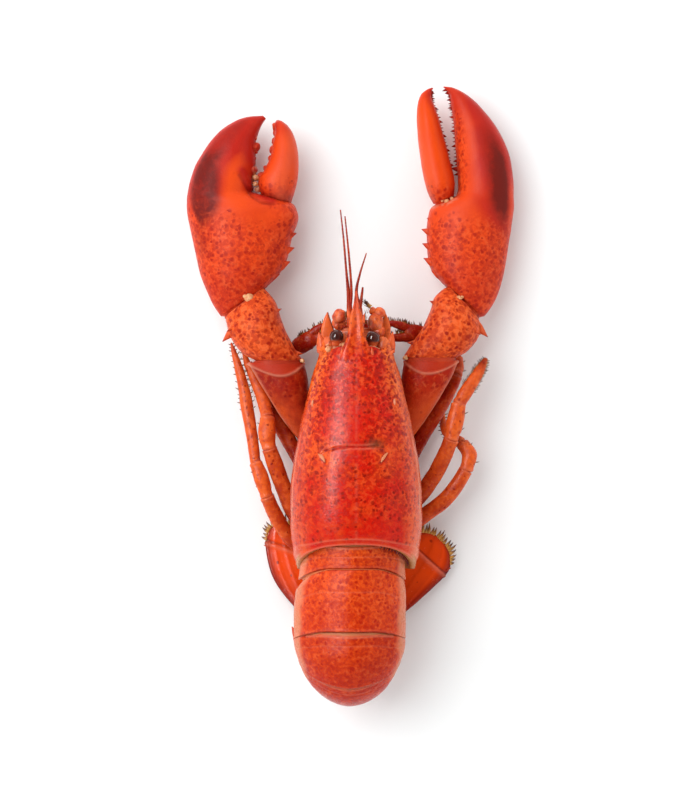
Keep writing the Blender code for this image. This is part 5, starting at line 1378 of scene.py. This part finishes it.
for name, pieces in LEGS.items():
    shade = LEG_REDNESS_AND_SHADE[name[4]]
    away = 1 if "right" in name else -1
    foot_key = "palm" if "palm" in pieces else "foot"
    spots = ()
    if name == "leg_4_left":
        spots = [row_at(pieces["foot"], s)[:2] for s in np.linspace(0.08, 0.55, 9)]
    merus = leg_piece(stretched(pieces["merus"], 0.0, 1.1), 110, 0.9, 0.8, shade + 0.15, 1.0)
    near_body = fade(share_along(merus[0]), 0.0, 0.6)
    merus[1]["red"] = merus[1]["red"] + 0.6 * near_body
    merus[1]["dark"] = merus[1]["dark"] + 0.18 * near_body
    carpus = leg_piece(stretched(pieces["carpus"], 1.1, 1.1), 50, 0.8, 0.8, shade - 0.25, 2.0)
    foot = [leg_piece(stretched(pieces[foot_key], 1.1), 100, 0.8, 0.0, shade, 3.0, spots)]
    # the second pair's feet are darker: painted shade between the claws and the body
    if name[4] == "2":
        foot[0][1]["dark"] = foot[0][1]["dark"] + 0.2
    if name == "leg_3_right":
        foot[0][1]["dark"] = foot[0][1]["dark"] + 0.5 * ease(share_along(foot[0][0]), 0.6, 1.0)
    if "finger" in pieces:
        foot.append(leg_piece(pieces["finger"], 50, 0.0, 0.0, shade + 0.1, 4.0))
        # painted shade: the front pair's pincers darker under the claws
        for _, marks in foot:
            marks["dark"] = marks["dark"] + 0.22
        for side in (1, -1, 1):
            shares = np.sort(chance.uniform(0.2, 0.98, 16))
            leg_bristles += bristles_on(pieces["palm"], shares, away, 2.0, 0.7)
            shares = np.sort(chance.uniform(0.2, 0.98, 12))
            leg_bristles += bristles_on(pieces["finger"], shares, side, 1.8, 0.7)
    else:
        shares = np.linspace(0.3, 0.97, MORE_BRISTLES.get(name, USUAL_BRISTLES))
        for side in (-1, 1):
            leg_bristles += bristles_on(pieces["foot"], shares, side, 1.7)
        leg_bristles += bristles_on(pieces["carpus"], (0.3, 0.8), away, 1.8)
    make_piece(f"{name}_upper", [merus], leg_shell, "limb shell", f"{name}_merus")
    make_piece(f"{name}_knee", [carpus], leg_shell, "limb shell", f"{name}_carpus")
    make_piece(f"{name}_foot_shell", foot, leg_shell, "limb shell", f"{name}_foot")
    leg_joints.append(limb_joint(pieces["merus"], pieces["carpus"]))
    leg_joints.append(limb_joint(pieces["carpus"], pieces[foot_key]))
make_piece("leg_joint_sleeves", leg_joints, leg_shell, "limb shell")


# %% [markdown]
# ## The tail fan
# The fan lies flat on the table under the body, with two blades a side and one in the middle. The
# blades are thin, glossy shell, so light sinks into them and they look deeper orange, with a dark
# rim. A seam crosses each outer blade, and beyond it a fringe of golden bristles lines the edge.

# %% Rows of the blades
TELSON = (
    (-9.0, -101.5, 9.6, -102.0, 2.2, 1.7, 1.7),
    (-11.0, -94.0, 12.0, -94.6, 2.1, 1.6, 1.7),
    (-9.2, -80.0, 12.4, -81.0, 2.0, 1.4, 1.6),
    (-6.4, -70.0, 11.4, -71.0, 2.0, 1.2, 1.4),
    (-2.0, -66.2, 8.4, -66.8, 2.0, 0.8, 0.9),
)
UROPODS = {
    "uropod_inner_left": (
        (-16.0, -102.6, -8.6, -102.6, 5.0, 1.1, 1.1),
        (-19.6, -95.0, -5.6, -96.0, 5.0, 1.0, 1.0),
        (-22.6, -80.0, -3.6, -80.4, 4.9, 0.9, 0.9),
        (-20.8, -69.0, -5.4, -68.0, 4.8, 0.8, 0.8),
        (-16.4, -64.4, -10.0, -63.8, 4.8, 0.6, 0.6),
    ),
    "uropod_inner_right": (
        (9.0, -102.6, 16.4, -102.6, 5.0, 1.1, 1.1),
        (7.0, -96.0, 21.6, -95.0, 5.0, 1.0, 1.0),
        (8.0, -80.6, 27.0, -80.4, 4.9, 0.9, 0.9),
        (12.4, -68.4, 28.0, -69.4, 4.8, 0.8, 0.8),
        (18.0, -63.8, 25.0, -64.2, 4.8, 0.6, 0.6),
    ),
    "uropod_outer_left": (
        (-20.4, -102.0, -12.6, -103.4, 7.4, 1.2, 1.0),
        (-27.0, -94.2, -12.8, -95.0, 7.2, 1.1, 1.0),
        (-35.2, -84.0, -16.4, -80.6, 6.6, 1.0, 0.9),
        (-38.8, -68.2, -20.2, -68.0, 6.0, 1.0, 0.9),
        (-37.2, -60.6, -22.6, -61.4, 5.8, 0.8, 0.8),
        (-32.6, -57.4, -27.6, -57.6, 5.6, 0.6, 0.6),
    ),
    "uropod_outer_right": (
        (13.4, -103.4, 20.4, -102.0, 7.4, 1.2, 1.0),
        (14.0, -94.2, 29.0, -95.2, 7.2, 1.1, 1.0),
        (18.8, -80.4, 38.9, -86.0, 6.6, 1.0, 0.9),
        (25.4, -67.6, 45.2, -79.4, 6.0, 1.0, 0.9),
        (29.4, -62.8, 45.8, -72.6, 5.8, 0.8, 0.8),
        (34.6, -60.8, 41.6, -64.6, 5.6, 0.6, 0.6),
    ),
}
print("blades beside the middle one:", len(UROPODS))

# %% [markdown]
# The blades are flat lofts with three ribs each. The fringe follows the worn edge of the blade,
# one stout bristle every millimetre and a half, shifted a little by chance.

# %% The blades and their fringe
blade_shell = boiled_shell(
    "boiled fan blade", "E8480C", "961804", "7E1408", freckle_mm=3.0, freckle_size=0.2, cloud_mm=20.0,
    cloud=0.6, mottle=0.1, fleck_mm=3.0, net=0.0, roughness=0.22, pits=0.15, shine=0.45)
# where the seam crosses an outer blade, as a share of its length
SEAM_AT = 0.60
# where the fringe of an outer and an inner blade starts, and how long its bristles are
OUTER_FRINGE = (0.66, 4.1)
INNER_FRINGE = (0.75, 2.6)
FRINGE_GAP, FRINGE_SHIFT = 1.45, 0.3
BLADE_AROUND = 100
fringe = []


def soft_rows(rows):
    """The rows with their corners worn off, by averaging along the piece."""
    kept = []
    for share in np.linspace(0.0, 1.0, 25):
        nearby = np.clip(share + 0.10 * np.linspace(-1.0, 1.0, 5), 0.0, 1.0)
        row = np.mean([row_at(rows, at) for at in nearby], axis=0)
        closing = 0.5 * (1.0 - np.sqrt(max(1.0 - ease(share, 0.82, 1.0) ** 2 * 0.85, 0.0)))
        narrow = (row[2:4] - row[0:2]) * closing
        kept.append(np.concatenate((row[0:2] + narrow, row[2:4] - narrow, row[4:])))
    return kept


def blade(rows, seam=None):
    """A ribbed blade with a dark rim, and where it has a seam, painted shade in it and a painted highlight
    on the fold beside it.
    """
    grid = flat_grid(rows, 90, BLADE_AROUND, 2.0)
    run = share_along(grid)
    across = np.cos(turns(BLADE_AROUND))[None, :]
    top = np.sin(turns(BLADE_AROUND))[None, :] > 0.0
    ribs = hill(across, 0.0, 0.10) + 0.6 * hill(across, 0.5, 0.08) + 0.6 * hill(across, -0.5, 0.08)
    relief = 0.22 * ribs * ease(run, 0.0, 0.2) * fade(run, 0.75, 1.0) * top
    crossing = fold = 0.0 * run
    if seam is not None:
        crossing = hill(run + 0.06 * across, seam, 0.012) * top
        fold = hill(run + 0.06 * across, seam - 0.03, 0.018) * top
        relief = relief - 0.40 * crossing + 0.45 * fold
    rim = np.maximum(ease(np.abs(across), 0.90, 0.97), ease(run, 0.95, 0.99))
    margin = hill(np.abs(across), 0.84, 0.06) * top
    relief = relief + 0.22 * hill(np.abs(across), 0.90, 0.05)
    grid = raised(grid, relief + 0.10 * lumps(grid, 7.0))
    marks = {"red": 0.02 + 0.9 * ease(np.abs(across), 0.5, 0.95) + 0.15 * ribs
             + 0.6 * fade(run, 0.15, 0.5) + 0.4 * ease(run, 0.8, 1.0),
             # painted shade in the seam and a painted highlight on the fold beside it
             "dark": 0.85 * rim + 0.6 * crossing, "pale": 0.35 * fold + 0.10 * margin, "freckles": 0.2}
    return grid, marks


def fringe_on(rows, first, length):
    """Bristles round the far end of a blade, from a share of its length on."""
    left = [row_at(rows, s)[[0, 1, 4]] for s in np.linspace(first, 1.0, 24)]
    right = [row_at(rows, s)[[2, 3, 4]] for s in np.linspace(1.0, first, 24)]
    path = np.array(left + right)
    steps = np.linalg.norm(np.diff(path, axis=0), axis=1)
    reach = np.concatenate(([0.0], np.cumsum(steps)))
    shells = []
    for at in np.arange(0.4, reach[-1] - 0.4, FRINGE_GAP):
        at = at + chance.uniform(-FRINGE_SHIFT, FRINGE_SHIFT)
        here = np.array([np.interp(at, reach, path[:, k]) for k in range(3)])
        nearby = np.array([np.interp(min(at + 0.5, reach[-1]), reach, path[:, k]) for k in range(3)])
        way = nearby - here
        out = np.array((-way[1], way[0], 0.0)) / max(np.linalg.norm(way[:2]), 1e-6)
        grow = 0.55 + 0.45 * float(ease(at, 0.0, 6.0) * ease(reach[-1] - at, 0.0, 6.0))
        lean = out + np.array((0.0, 0.25, 0.06))
        shells.append(bristle(here - out * 0.5, lean, length * grow * chance.uniform(0.75, 1.15), 0.9, 0.0))
    return shells


make_piece("fan_middle", [blade(soft_rows(TELSON))], blade_shell, "fan blade", "telson")
for name, rows in UROPODS.items():
    outer_blade = "outer" in name
    rows = soft_rows(rows)
    shells = [blade(rows, SEAM_AT if outer_blade else None)]
    if outer_blade:
        side = -1.0 if "left" in name else 1.0
        edge = row_at(rows, SEAM_AT)[[0, 1, 4] if side < 0 else [2, 3, 4]]
        corner = thorn(edge - (side * 1.6, 0.0, 0.0), edge + (side * 0.9, 0.8, 0.0), 0.8, 11, 10)
        shells.append((corner, {"dark": 0.6}))
    make_piece(name.replace("uropod", "fan_blade"), shells, blade_shell, "fan blade", name)
    fringe += fringe_on(rows, *(OUTER_FRINGE if outer_blade else INNER_FRINGE))

# %% [markdown]
# Bristles are stiff chitin hairs, golden brown at the root and dark brown at the tip, with a dull
# shine. One material serves all of them and reads how far along the bristle it is.

# %% Bristle material and pieces
bristle_hair, tree, shader, place = new_finish("chitin bristle")
tip_share = add(tree, "Attribute", attribute_name="dark").outputs["Fac"]
patchy = scaled(tree, cloudy(tree, place, 3.0, 2.0)["Fac"], 0.7, tip_share)
# some bristles turn dark nearer their roots than others; a half rough surface keeps them dull
fill(tree, shader, {
    "Base Color": blend(tree, ramp(tree, patchy, 0.5, 1.15), "D09A48", "56200E"),
    "Roughness": 0.45, "IOR": CHITIN_INDEX})
make_piece("fan_fringe", fringe, bristle_hair, "fan blade")
make_piece("leg_bristles", leg_bristles, bristle_hair, "limb shell")

# %% [markdown]
# ## Head and underside
# In front of the shield sit two stalked eyes in pale sockets, a stout root and a pointed scale
# for each long feeler, and the split feelers between them. Below are the mouth legs and the
# narrow body that carries all the limbs.

# %% Body and mouth parts
ROOT_GAP = 0.6
ROOT_INSET = 0.3
ROOT_INNER = 7.0
ROOT_BACK = 4.5
ROOT_REARMOST = -69.5
ROOT_LIFT = 2.0
ROOT_TAPER = 0.8
THORAX_ROWS = (
    (-73.0, 12.0, 10.6, 18.4),
    (-66.0, 14.5, 10.0, 18.2),
    (-40.0, 13.5, 9.6, 18.4),
    (-15.0, 11.5, 9.4, 22.4),
    (5.0, 10.0, 10.6, 26.6),
    (17.0, 9.0, 15.0, 30.4),
)
THORAX_POWER = 2.8
HEAD_ROWS = (
    (21.4, 10.6, 25.0, 39.4),
    (25.0, 10.4, 26.0, 39.4),
    (29.4, 8.4, 30.0, 39.0),
)
HEAD_POWER = 2.6
CHEEKS_X = (-9.4, 14.4)
MAXILLIPED = (
    (0.0, 4.6, 6.4, 4.0, 5.6), (0.0, 12.0, 6.4, 4.6, 6.0), (0.0, 20.0, 8.0, 4.6, 5.6),
    (0.0, 27.0, 12.4, 4.0, 5.0), (0.0, 31.4, 18.0, 3.0, 3.6), (0.0, 33.0, 22.4, 1.0, 1.2),
)
MAXILLIPED_X = 4.6
# where the joints of a mouth leg are, as shares of its length
MOUTH_JOINTS = (0.42, 0.72)


def box_like(rows, along, around, power):
    """A squarish body along Y from rows of Y, half width, underside and top."""
    across, lift = section(turns(around), power)
    y, half, low, high = rows_along(rows, along).T[..., None]
    height = (low + high) / 2 + (high - low) / 2 * lift
    return np.stack(np.broadcast_arrays(BODY_X + half * across, y, height), axis=-1)


def limb_root(ring, way):
    """The stub that carries a limb, as in the solids, with a collar where the limb starts."""
    centre = ring.mean(axis=0)
    side = 1.0 if centre[0] > BODY_X else -1.0
    inside = np.array((
        BODY_X + side * ROOT_INNER, max(centre[1] - ROOT_BACK, ROOT_REARMOST), centre[2] + ROOT_LIFT))
    face = ring + unit(way) * ROOT_GAP
    far = inside + (ring - centre) * ROOT_TAPER
    t = np.linspace(0.0, 1.0, 30)[:, None, None]
    grid = far * (1.0 - t) + face * t
    grid = rounded(grid, 0.0, ROOT_INSET * 2)
    run = share_along(grid)
    grid = raised(grid, 0.10 * lumps(grid, 3.0) - 0.35 * hill(run, 0.55, 0.08))
    return grid, {"red": 0.2, "pale": 0.1, "freckles": 0.3}


body = box_like(THORAX_ROWS, 120, 80, THORAX_POWER)
plates = 0.5 - 0.5 * np.cos(body[..., 1] * tau / 9.0)
middle_line = hill(body[..., 0], BODY_X, 0.9) * (body[..., 2] < 14.0)
body = raised(body, 0.35 * plates - 0.5 * middle_line + 0.1 * lumps(body, 5.0))
under_shells = [(body, {"red": 0.1, "pale": 0.30 * (1.0 - plates) + 0.12, "freckles": 0.25})]
for pieces in LEGS.values():
    grid = limb_grid(pieces["merus"], 40, 28)
    under_shells.append(limb_root(grid[0], grid[0].mean(axis=0) - grid[1].mean(axis=0)))
for rows in (CRUSHER_MERUS, CUTTER_MERUS):
    ring = flat_grid(rows, 40, 36)[-1]
    under_shells.append(limb_root(ring, np.cross(ring[0] - ring[18], (0.0, 0.0, 1.0))))
make_piece("body_underside", under_shells, leg_shell, "limb shell", "thorax")

head = box_like(HEAD_ROWS, 30, 60, HEAD_POWER)
head = rounded(raised(head, 0.25 * lumps(head, 3.0)), 0.0, 1.2)
head_shells = [(head, {"red": 0.1, "pale": 0.25, "freckles": 0.3})]
for x in CHEEKS_X:
    cheek = pebble((x, 21.6, 40.6), (6.4, 8.0, 6.0), x, 24, 0.1)
    head_shells.append((cheek, {"red": 0.1, "pale": 0.2, "freckles": 0.4}))
make_piece("head_front", head_shells, carapace_shell, "limb shell", "head")
for side, word in ((-1, "left"), (1, "right")):
    rows = [(BODY_X + side * MAXILLIPED_X, *row[1:]) for row in MAXILLIPED]
    grid, marks = leg_piece(rows, 90, 0.0, 0.0, 0.8, 5.0)
    run = share_along(grid)
    grid = raised(grid, -0.3 * sum(hill(run, at, 0.02) for at in MOUTH_JOINTS))
    marks["dark"] = 0.3 + 0.3 * sum(hill(run, at, 0.03) for at in MOUTH_JOINTS)
    make_piece(f"mouth_leg_{word}", [(grid, marks)], leg_shell, "limb shell", f"maxilliped_{word}")

# %% [markdown]
# The eyes are dark, wet domes on short stalks: brown-black pigment under a clear skin with an
# index near 1.4 and almost no roughness, ringed by the orange rim of the stalk.

# %% Eyes
EYE_RADIUS = 3.2
EYES = {"eye_left": (-6.1, 25.4, 43.9), "eye_right": (9.9, 24.7, 43.9)}
STALK_WIDE = 4.2
STALK_START = 21.8
eye_glass, tree, shader, place = new_finish("wet dark eye")
ring_share = add(tree, "Attribute", attribute_name="pale").outputs["Fac"]
tone = blend(tree, cloudy(tree, place, 2.4, 3.0)["Fac"], "160A0A", "5A2A22")
# a wet coat over the pigment gives one small, sharp highlight
fill(tree, shader, {
    "Base Color": blend(tree, ring_share, tone, "C9552A"), "Roughness": 0.10, "IOR": 1.4,
    "Coat Weight": 0.6, "Coat Roughness": 0.05})
SOCKET_LUMPS = 16    # lumps of skin round each eye
socket_shells = []
for name, centre in EYES.items():
    grid = np.array(centre) + ball(40, 48, 6.0) * EYE_RADIUS
    stalk = limb_grid(((centre[0], STALK_START, centre[2] - 0.8, STALK_WIDE, STALK_WIDE),
                       (centre[0], centre[1] - 0.5, centre[2], STALK_WIDE, STALK_WIDE)), 12, 32)
    rear = fade(grid[..., 1], centre[1] - 2.6, centre[1] - 1.2)
    make_piece(name + "_dome", [(grid, {"pale": rear}), (stalk, {"pale": 1.0})], eye_glass, "eye", name)
    for k in range(SOCKET_LUMPS):
        sx = centre[0] + chance.uniform(-4.6, 3.6)
        sy = centre[1] - 4.4 + chance.uniform(-1.4, 0.9)
        size = chance.uniform(1.4, 3.2)
        lump = (sx, sy, 44.4 + chance.uniform(-1.2, 1.4))
        along = size * chance.uniform(0.5, 0.9)
        socket_shells.append((pebble(lump, (size, along, size * 0.7), k * 4.1), {}))
make_piece("eye_socket_skin", socket_shells, joint_skin, "limb shell")

# %% [markdown]
# Each long feeler has broken off at its stout root, which shows as a knob beside the beak. The
# pointed scales lie outside them. The short split feelers are fine, ringed threads.

# %% Feelers
ANTENNA_PEDUNCLES = {
    "antenna_peduncle_left": (
        (-4.9, 30.8, 35.9, 6.4, 6.4), (-4.9, 33.2, 36.6, 6.8, 6.8), (-4.8, 36.4, 37.2, 6.2, 6.2),
        (-4.7, 39.0, 37.4, 4.0, 4.0)),
    "antenna_peduncle_right": (
        (10.4, 30.8, 35.9, 6.0, 6.4), (10.8, 33.2, 36.6, 6.2, 6.8), (11.4, 36.4, 37.2, 6.0, 6.2),
        (11.9, 38.8, 37.4, 4.2, 4.0)),
}
ANTENNAL_SCALES = {
    "antenna_scale_left": (
        (-10.8, 23.5, 34.0, 3.2, 1.8), (-11.0, 28.0, 34.5, 4.0, 1.8), (-10.7, 32.5, 35.0, 2.8, 1.6),
        (-10.1, 36.4, 35.3, 0.6, 0.6)),
    "antenna_scale_right": (
        (15.9, 23.5, 34.0, 3.0, 1.8), (16.2, 28.0, 34.5, 3.4, 1.8), (15.9, 32.5, 35.0, 2.4, 1.6),
        (15.2, 36.2, 35.3, 0.6, 0.6)),
}
ANTENNULES = {
    "antennule_left": (
        ((-0.2, 29.9, 41.6, 3.0, 3.0), (-0.4, 37.0, 42.6, 2.6, 2.6), (-0.8, 44.0, 43.6, 1.8, 1.8),
         (-1.8, 54.0, 45.0, 1.0, 1.0), (-3.0, 68.0, 46.0, 0.8, 0.8), (-4.4, 81.0, 46.0, 0.5, 0.5)),
        ((-0.4, 37.0, 42.6, 1.8, 1.8), (0.4, 45.0, 44.6, 1.2, 1.2), (-0.6, 60.0, 47.0, 0.9, 0.9),
         (-2.4, 78.0, 49.0, 0.5, 0.5)),
    ),
    "antennule_right": (
        ((4.4, 29.9, 41.6, 3.0, 3.0), (4.0, 37.0, 42.6, 2.6, 2.6), (2.6, 45.0, 43.4, 1.4, 1.4),
         (4.2, 53.0, 45.0, 0.9, 0.9), (7.0, 62.0, 47.0, 0.5, 0.5)),
        ((4.0, 37.0, 42.6, 1.8, 1.8), (4.8, 42.0, 44.2, 1.3, 1.3), (5.4, 47.0, 45.6, 0.8, 0.8)),
    ),
}
# knobs on each root: x y z, width and length
FEELER_KNOBS = {
    "antenna_peduncle_left": (
        (-4.6, 34.6, 38.6, 6.6, 6.6), (-5.2, 30.4, 37.4, 4.6, 4.0)),
    "antenna_peduncle_right": (
        (12.9, 36.0, 39.0, 4.8, 4.8), (11.2, 31.6, 38.6, 6.6, 9.0), (12.4, 27.6, 38.0, 6.0, 6.4),
        (9.8, 36.8, 38.4, 3.2, 3.4)),
}
# how far each scale reaches in under its eye, past its solid, row by row
SCALE_WIDER = (1.1, 0.9, 0.35, 0.0)
THREAD_RINGS = 38
for name, rows in ANTENNA_PEDUNCLES.items():
    grid = rounded(limb_grid(rows, 60, 48), 0.0, 1.1)
    run = share_along(grid)
    grid = raised(grid, 0.25 * lumps(grid, 3.0) - 0.35 * hill(run, 0.30, 0.04) - 1.3 * ease(run, 0.30, 0.5))
    marks = {"red": 0.15 - 0.3 * hill(run, 0.8, 0.15), "pale": 0.22 + 0.2 * hill(run, 0.35, 0.05),
             "freckles": 0.25}
    shells = [(grid, marks)]
    for k, (kx, ky, kz, wide, long) in enumerate(FEELER_KNOBS[name]):
        knob = pebble((kx, ky, kz), (wide, long, wide), k * 1.9, 32, 0.10)
        knob = raised(knob, 0.2 * lumps(knob, 1.6, 2.0))
        shells.append((knob, {
            "red": 0.15 + 0.9 * lumps(knob, 2.6, k), "freckles": 0.7,
            "pale": 0.1 + 0.7 * lumps(knob, 2.0, k + 3.0).clip(0.0, 1.0),
            # painted shade: each knob darker on its underside and towards its rear
            "dark": 0.45 * ease(kz - knob[..., 2], 0.0, 1.5) + 0.3 * ease(ky - knob[..., 1], 1.5, 3.0)}))
    make_piece(name.replace("antenna_peduncle", "feeler_root"), shells, carapace_shell, "antenna", name)
for name, rows in ANTENNAL_SCALES.items():
    towards = 1.0 if "left" in name else -1.0
    rows = [(sx + towards * widen, sy, sz, width + 2.0 * widen, thick)
            for (sx, sy, sz, width, thick), widen in zip(rows, SCALE_WIDER)]
    grid = limb_grid(rows, 50, 32)
    aside = np.abs(grid[..., 0] - BODY_X)
    shadow = 0.75 * fade(aside - aside.min(axis=1, keepdims=True), 0.2, 0.9)
    marks = {"red": -0.1, "dark": shadow, "pale": 0.12, "freckles": 0.2}
    piece_name = name.replace("antenna_scale", "feeler_scale")
    make_piece(piece_name, [(grid, marks)], carapace_shell, "limb shell", name)
for name, threads in ANTENNULES.items():
    shells = []
    for rows in threads:
        grid = limb_grid(rows, 120, 14)
        run = share_along(grid)
        rings = 0.5 + 0.5 * np.cos(run * tau * THREAD_RINGS)
        shells.append((raised(grid, 0.05 * rings * ease(run, 0.15, 0.3)),
                       {"red": 0.75, "dark": 0.25 + 0.3 * ease(run, 0.2, 0.6) * rings, "freckles": 0.0}))
    make_piece(name.replace("antennule", "split_feeler"), shells, leg_shell, "antenna", name)

# a curl of brown hair at the right feeler's root, and short hairs round both roots
head_hair = []
for k in range(26):
    turn = radians(chance.uniform(100.0, 260.0))
    root = (9.6 + 0.8 * cos(turn), 38.4 + 0.8 * sin(turn), 38.4 + chance.uniform(-0.5, 0.8))
    lean = (-1.0, 0.9 + chance.uniform(-0.7, 0.5), 0.5)
    head_hair.append(bristle(root, lean, chance.uniform(2.6, 5.4), 0.22, 0.1))
for k in range(40):
    x0 = chance.choice((-1.4, 7.2)) + chance.uniform(-0.9, 0.9)
    root, lean = (x0, 30.4 + chance.uniform(0.0, 5.5), 41.0), (chance.uniform(-0.5, 0.5), 1.0, 0.5)
    head_hair.append(bristle(root, lean, chance.uniform(1.6, 2.6), 0.14))
make_piece("head_hair", head_hair, bristle_hair, "antenna")

# %% [markdown]
# ## Floor, light and camera
# The lobster lies on matt white card. One large flat face is enough, as it only has to take the
# soft shadows.

# %% The white table
TABLE_HALF = 3.0    # metres from the middle to each edge
floor_mesh = bpy.data.meshes.new("white_table")
corners = [(TABLE_HALF * a, TABLE_HALF * b, 0) for a, b in ((-1, -1), (1, -1), (1, 1), (-1, 1))]
floor_mesh.from_pydata(corners, [], [(0, 1, 2, 3)])
floor = bpy.data.objects.new("white_table", floor_mesh)
bpy.context.scene.collection.objects.link(floor)
paper, tree, shader, place = new_finish("matt white card")
# very rough and barely uneven, so it mirrors nothing and only takes the soft shadows
card_tone = blend(tree, cloudy(tree, place, 25.0, 3.0)["Fac"], "F3F6F6", "F6F9F9")
fill(tree, shader, {"Base Color": card_tone, "Roughness": 0.9})
floor_mesh.materials.append(paper)
print("table, metres wide:", 2 * TABLE_HALF)

# %% [markdown]
# A large soft light stands to the upper left, so shadows fall softly to the right, and pale
# surroundings fill them. Overhead they stay dim, and mirrored in the shell they are dimmer still,
# so the shell keeps its full colour. A long narrow light gives only its own reflection: the bright
# streak along the shield.

# %% The soft light and the pale surroundings
SIDE_SKY, TOP_SKY = 1.5, 0.06    # how bright the surroundings are at the sides and overhead
LESS_MIRRORED = 0.8    # share of that brightness that mirror images leave out
LIGHTS_AIM = (0.0, 0.0, 0.02)


def soft_light(name, place, wide, high, watts):
    """A rectangular light of a size in metres, turned towards the lobster."""
    lamp = bpy.data.lights.new(name, "AREA")
    lamp.shape, lamp.size, lamp.size_y, lamp.energy = "RECTANGLE", wide, high, watts
    made = bpy.data.objects.new(name, lamp)
    made.location = place
    made.rotation_euler = (Vector(LIGHTS_AIM) - Vector(place)).to_track_quat("-Z", "Y").to_euler()
    bpy.context.scene.collection.objects.link(made)
    print(name, "at", place, "with", watts, "watts")
    return made


# the large one lights without mirroring in the shell, so the colours stay deep; the small one is
# there only for its mirror image, the bright streak along the shell
soft_light("large soft light", (-0.90, 0.62, 1.40), 1.8, 1.8, 29.5).visible_glossy = False
soft_light("long bright light", (-0.78, 0.30, 1.45), 1.4, 0.26, 26.0).visible_diffuse = False
world = bpy.data.worlds.new("pale studio")
bpy.context.scene.world = world
world.use_nodes = True
tree = world.node_tree
up = add(tree, "SeparateXYZ", {0: add(tree, "TexCoord").outputs["Generated"]}).outputs["Z"]
strength = ramp(tree, up, 0.55, 0.92, SIDE_SKY, TOP_SKY, interpolation_type="SMOOTHSTEP")
# mirrored in the shell, the surroundings are dimmer than they light it, so that its rims stay red
kept = scaled(tree, add(tree, "LightPath").outputs["Is Glossy Ray"], -LESS_MIRRORED, 1.0)
fill(tree, tree.nodes["Background"], {
    "Color": (1.0, 1.0, 1.0, 1.0), "Strength": times(tree, strength, kept)})

# %% [markdown]
# The camera looks straight down from 1.3 m. A flat view without perspective would be simpler, but
# from there the nearest shell shows a little larger, as it does in the photo.

# %% The camera, straight above
# the picture is 700 by 800; 0.446 mm a pixel at 25 mm above the table, from 1.3 m up
PICTURE_HIGH = 800
CAMERA_X, CAMERA_Y = -0.0002, -0.00248
camera_height, focus_height, pixel = 1.3, 0.025, 0.4464 * MM
camera = bpy.data.cameras.new("camera from above")
camera.sensor_width = 36.0
camera.lens = camera.sensor_width * (camera_height - focus_height) / (PICTURE_HIGH * pixel)
camera_object = bpy.data.objects.new("camera from above", camera)
camera_object.location = (CAMERA_X, CAMERA_Y, camera_height)
bpy.context.scene.collection.objects.link(camera_object)
bpy.context.scene.camera = camera_object
bpy.context.scene.view_settings.view_transform = "Standard"
print("lens, mm:", round(camera.lens, 1))

# %% [markdown]
# ## The end
# All the pieces and their triangles are counted.

# %% Triangles and the end
print("triangles in all:", sum(count for _, count in made_pieces), "in", len(made_pieces), "pieces")
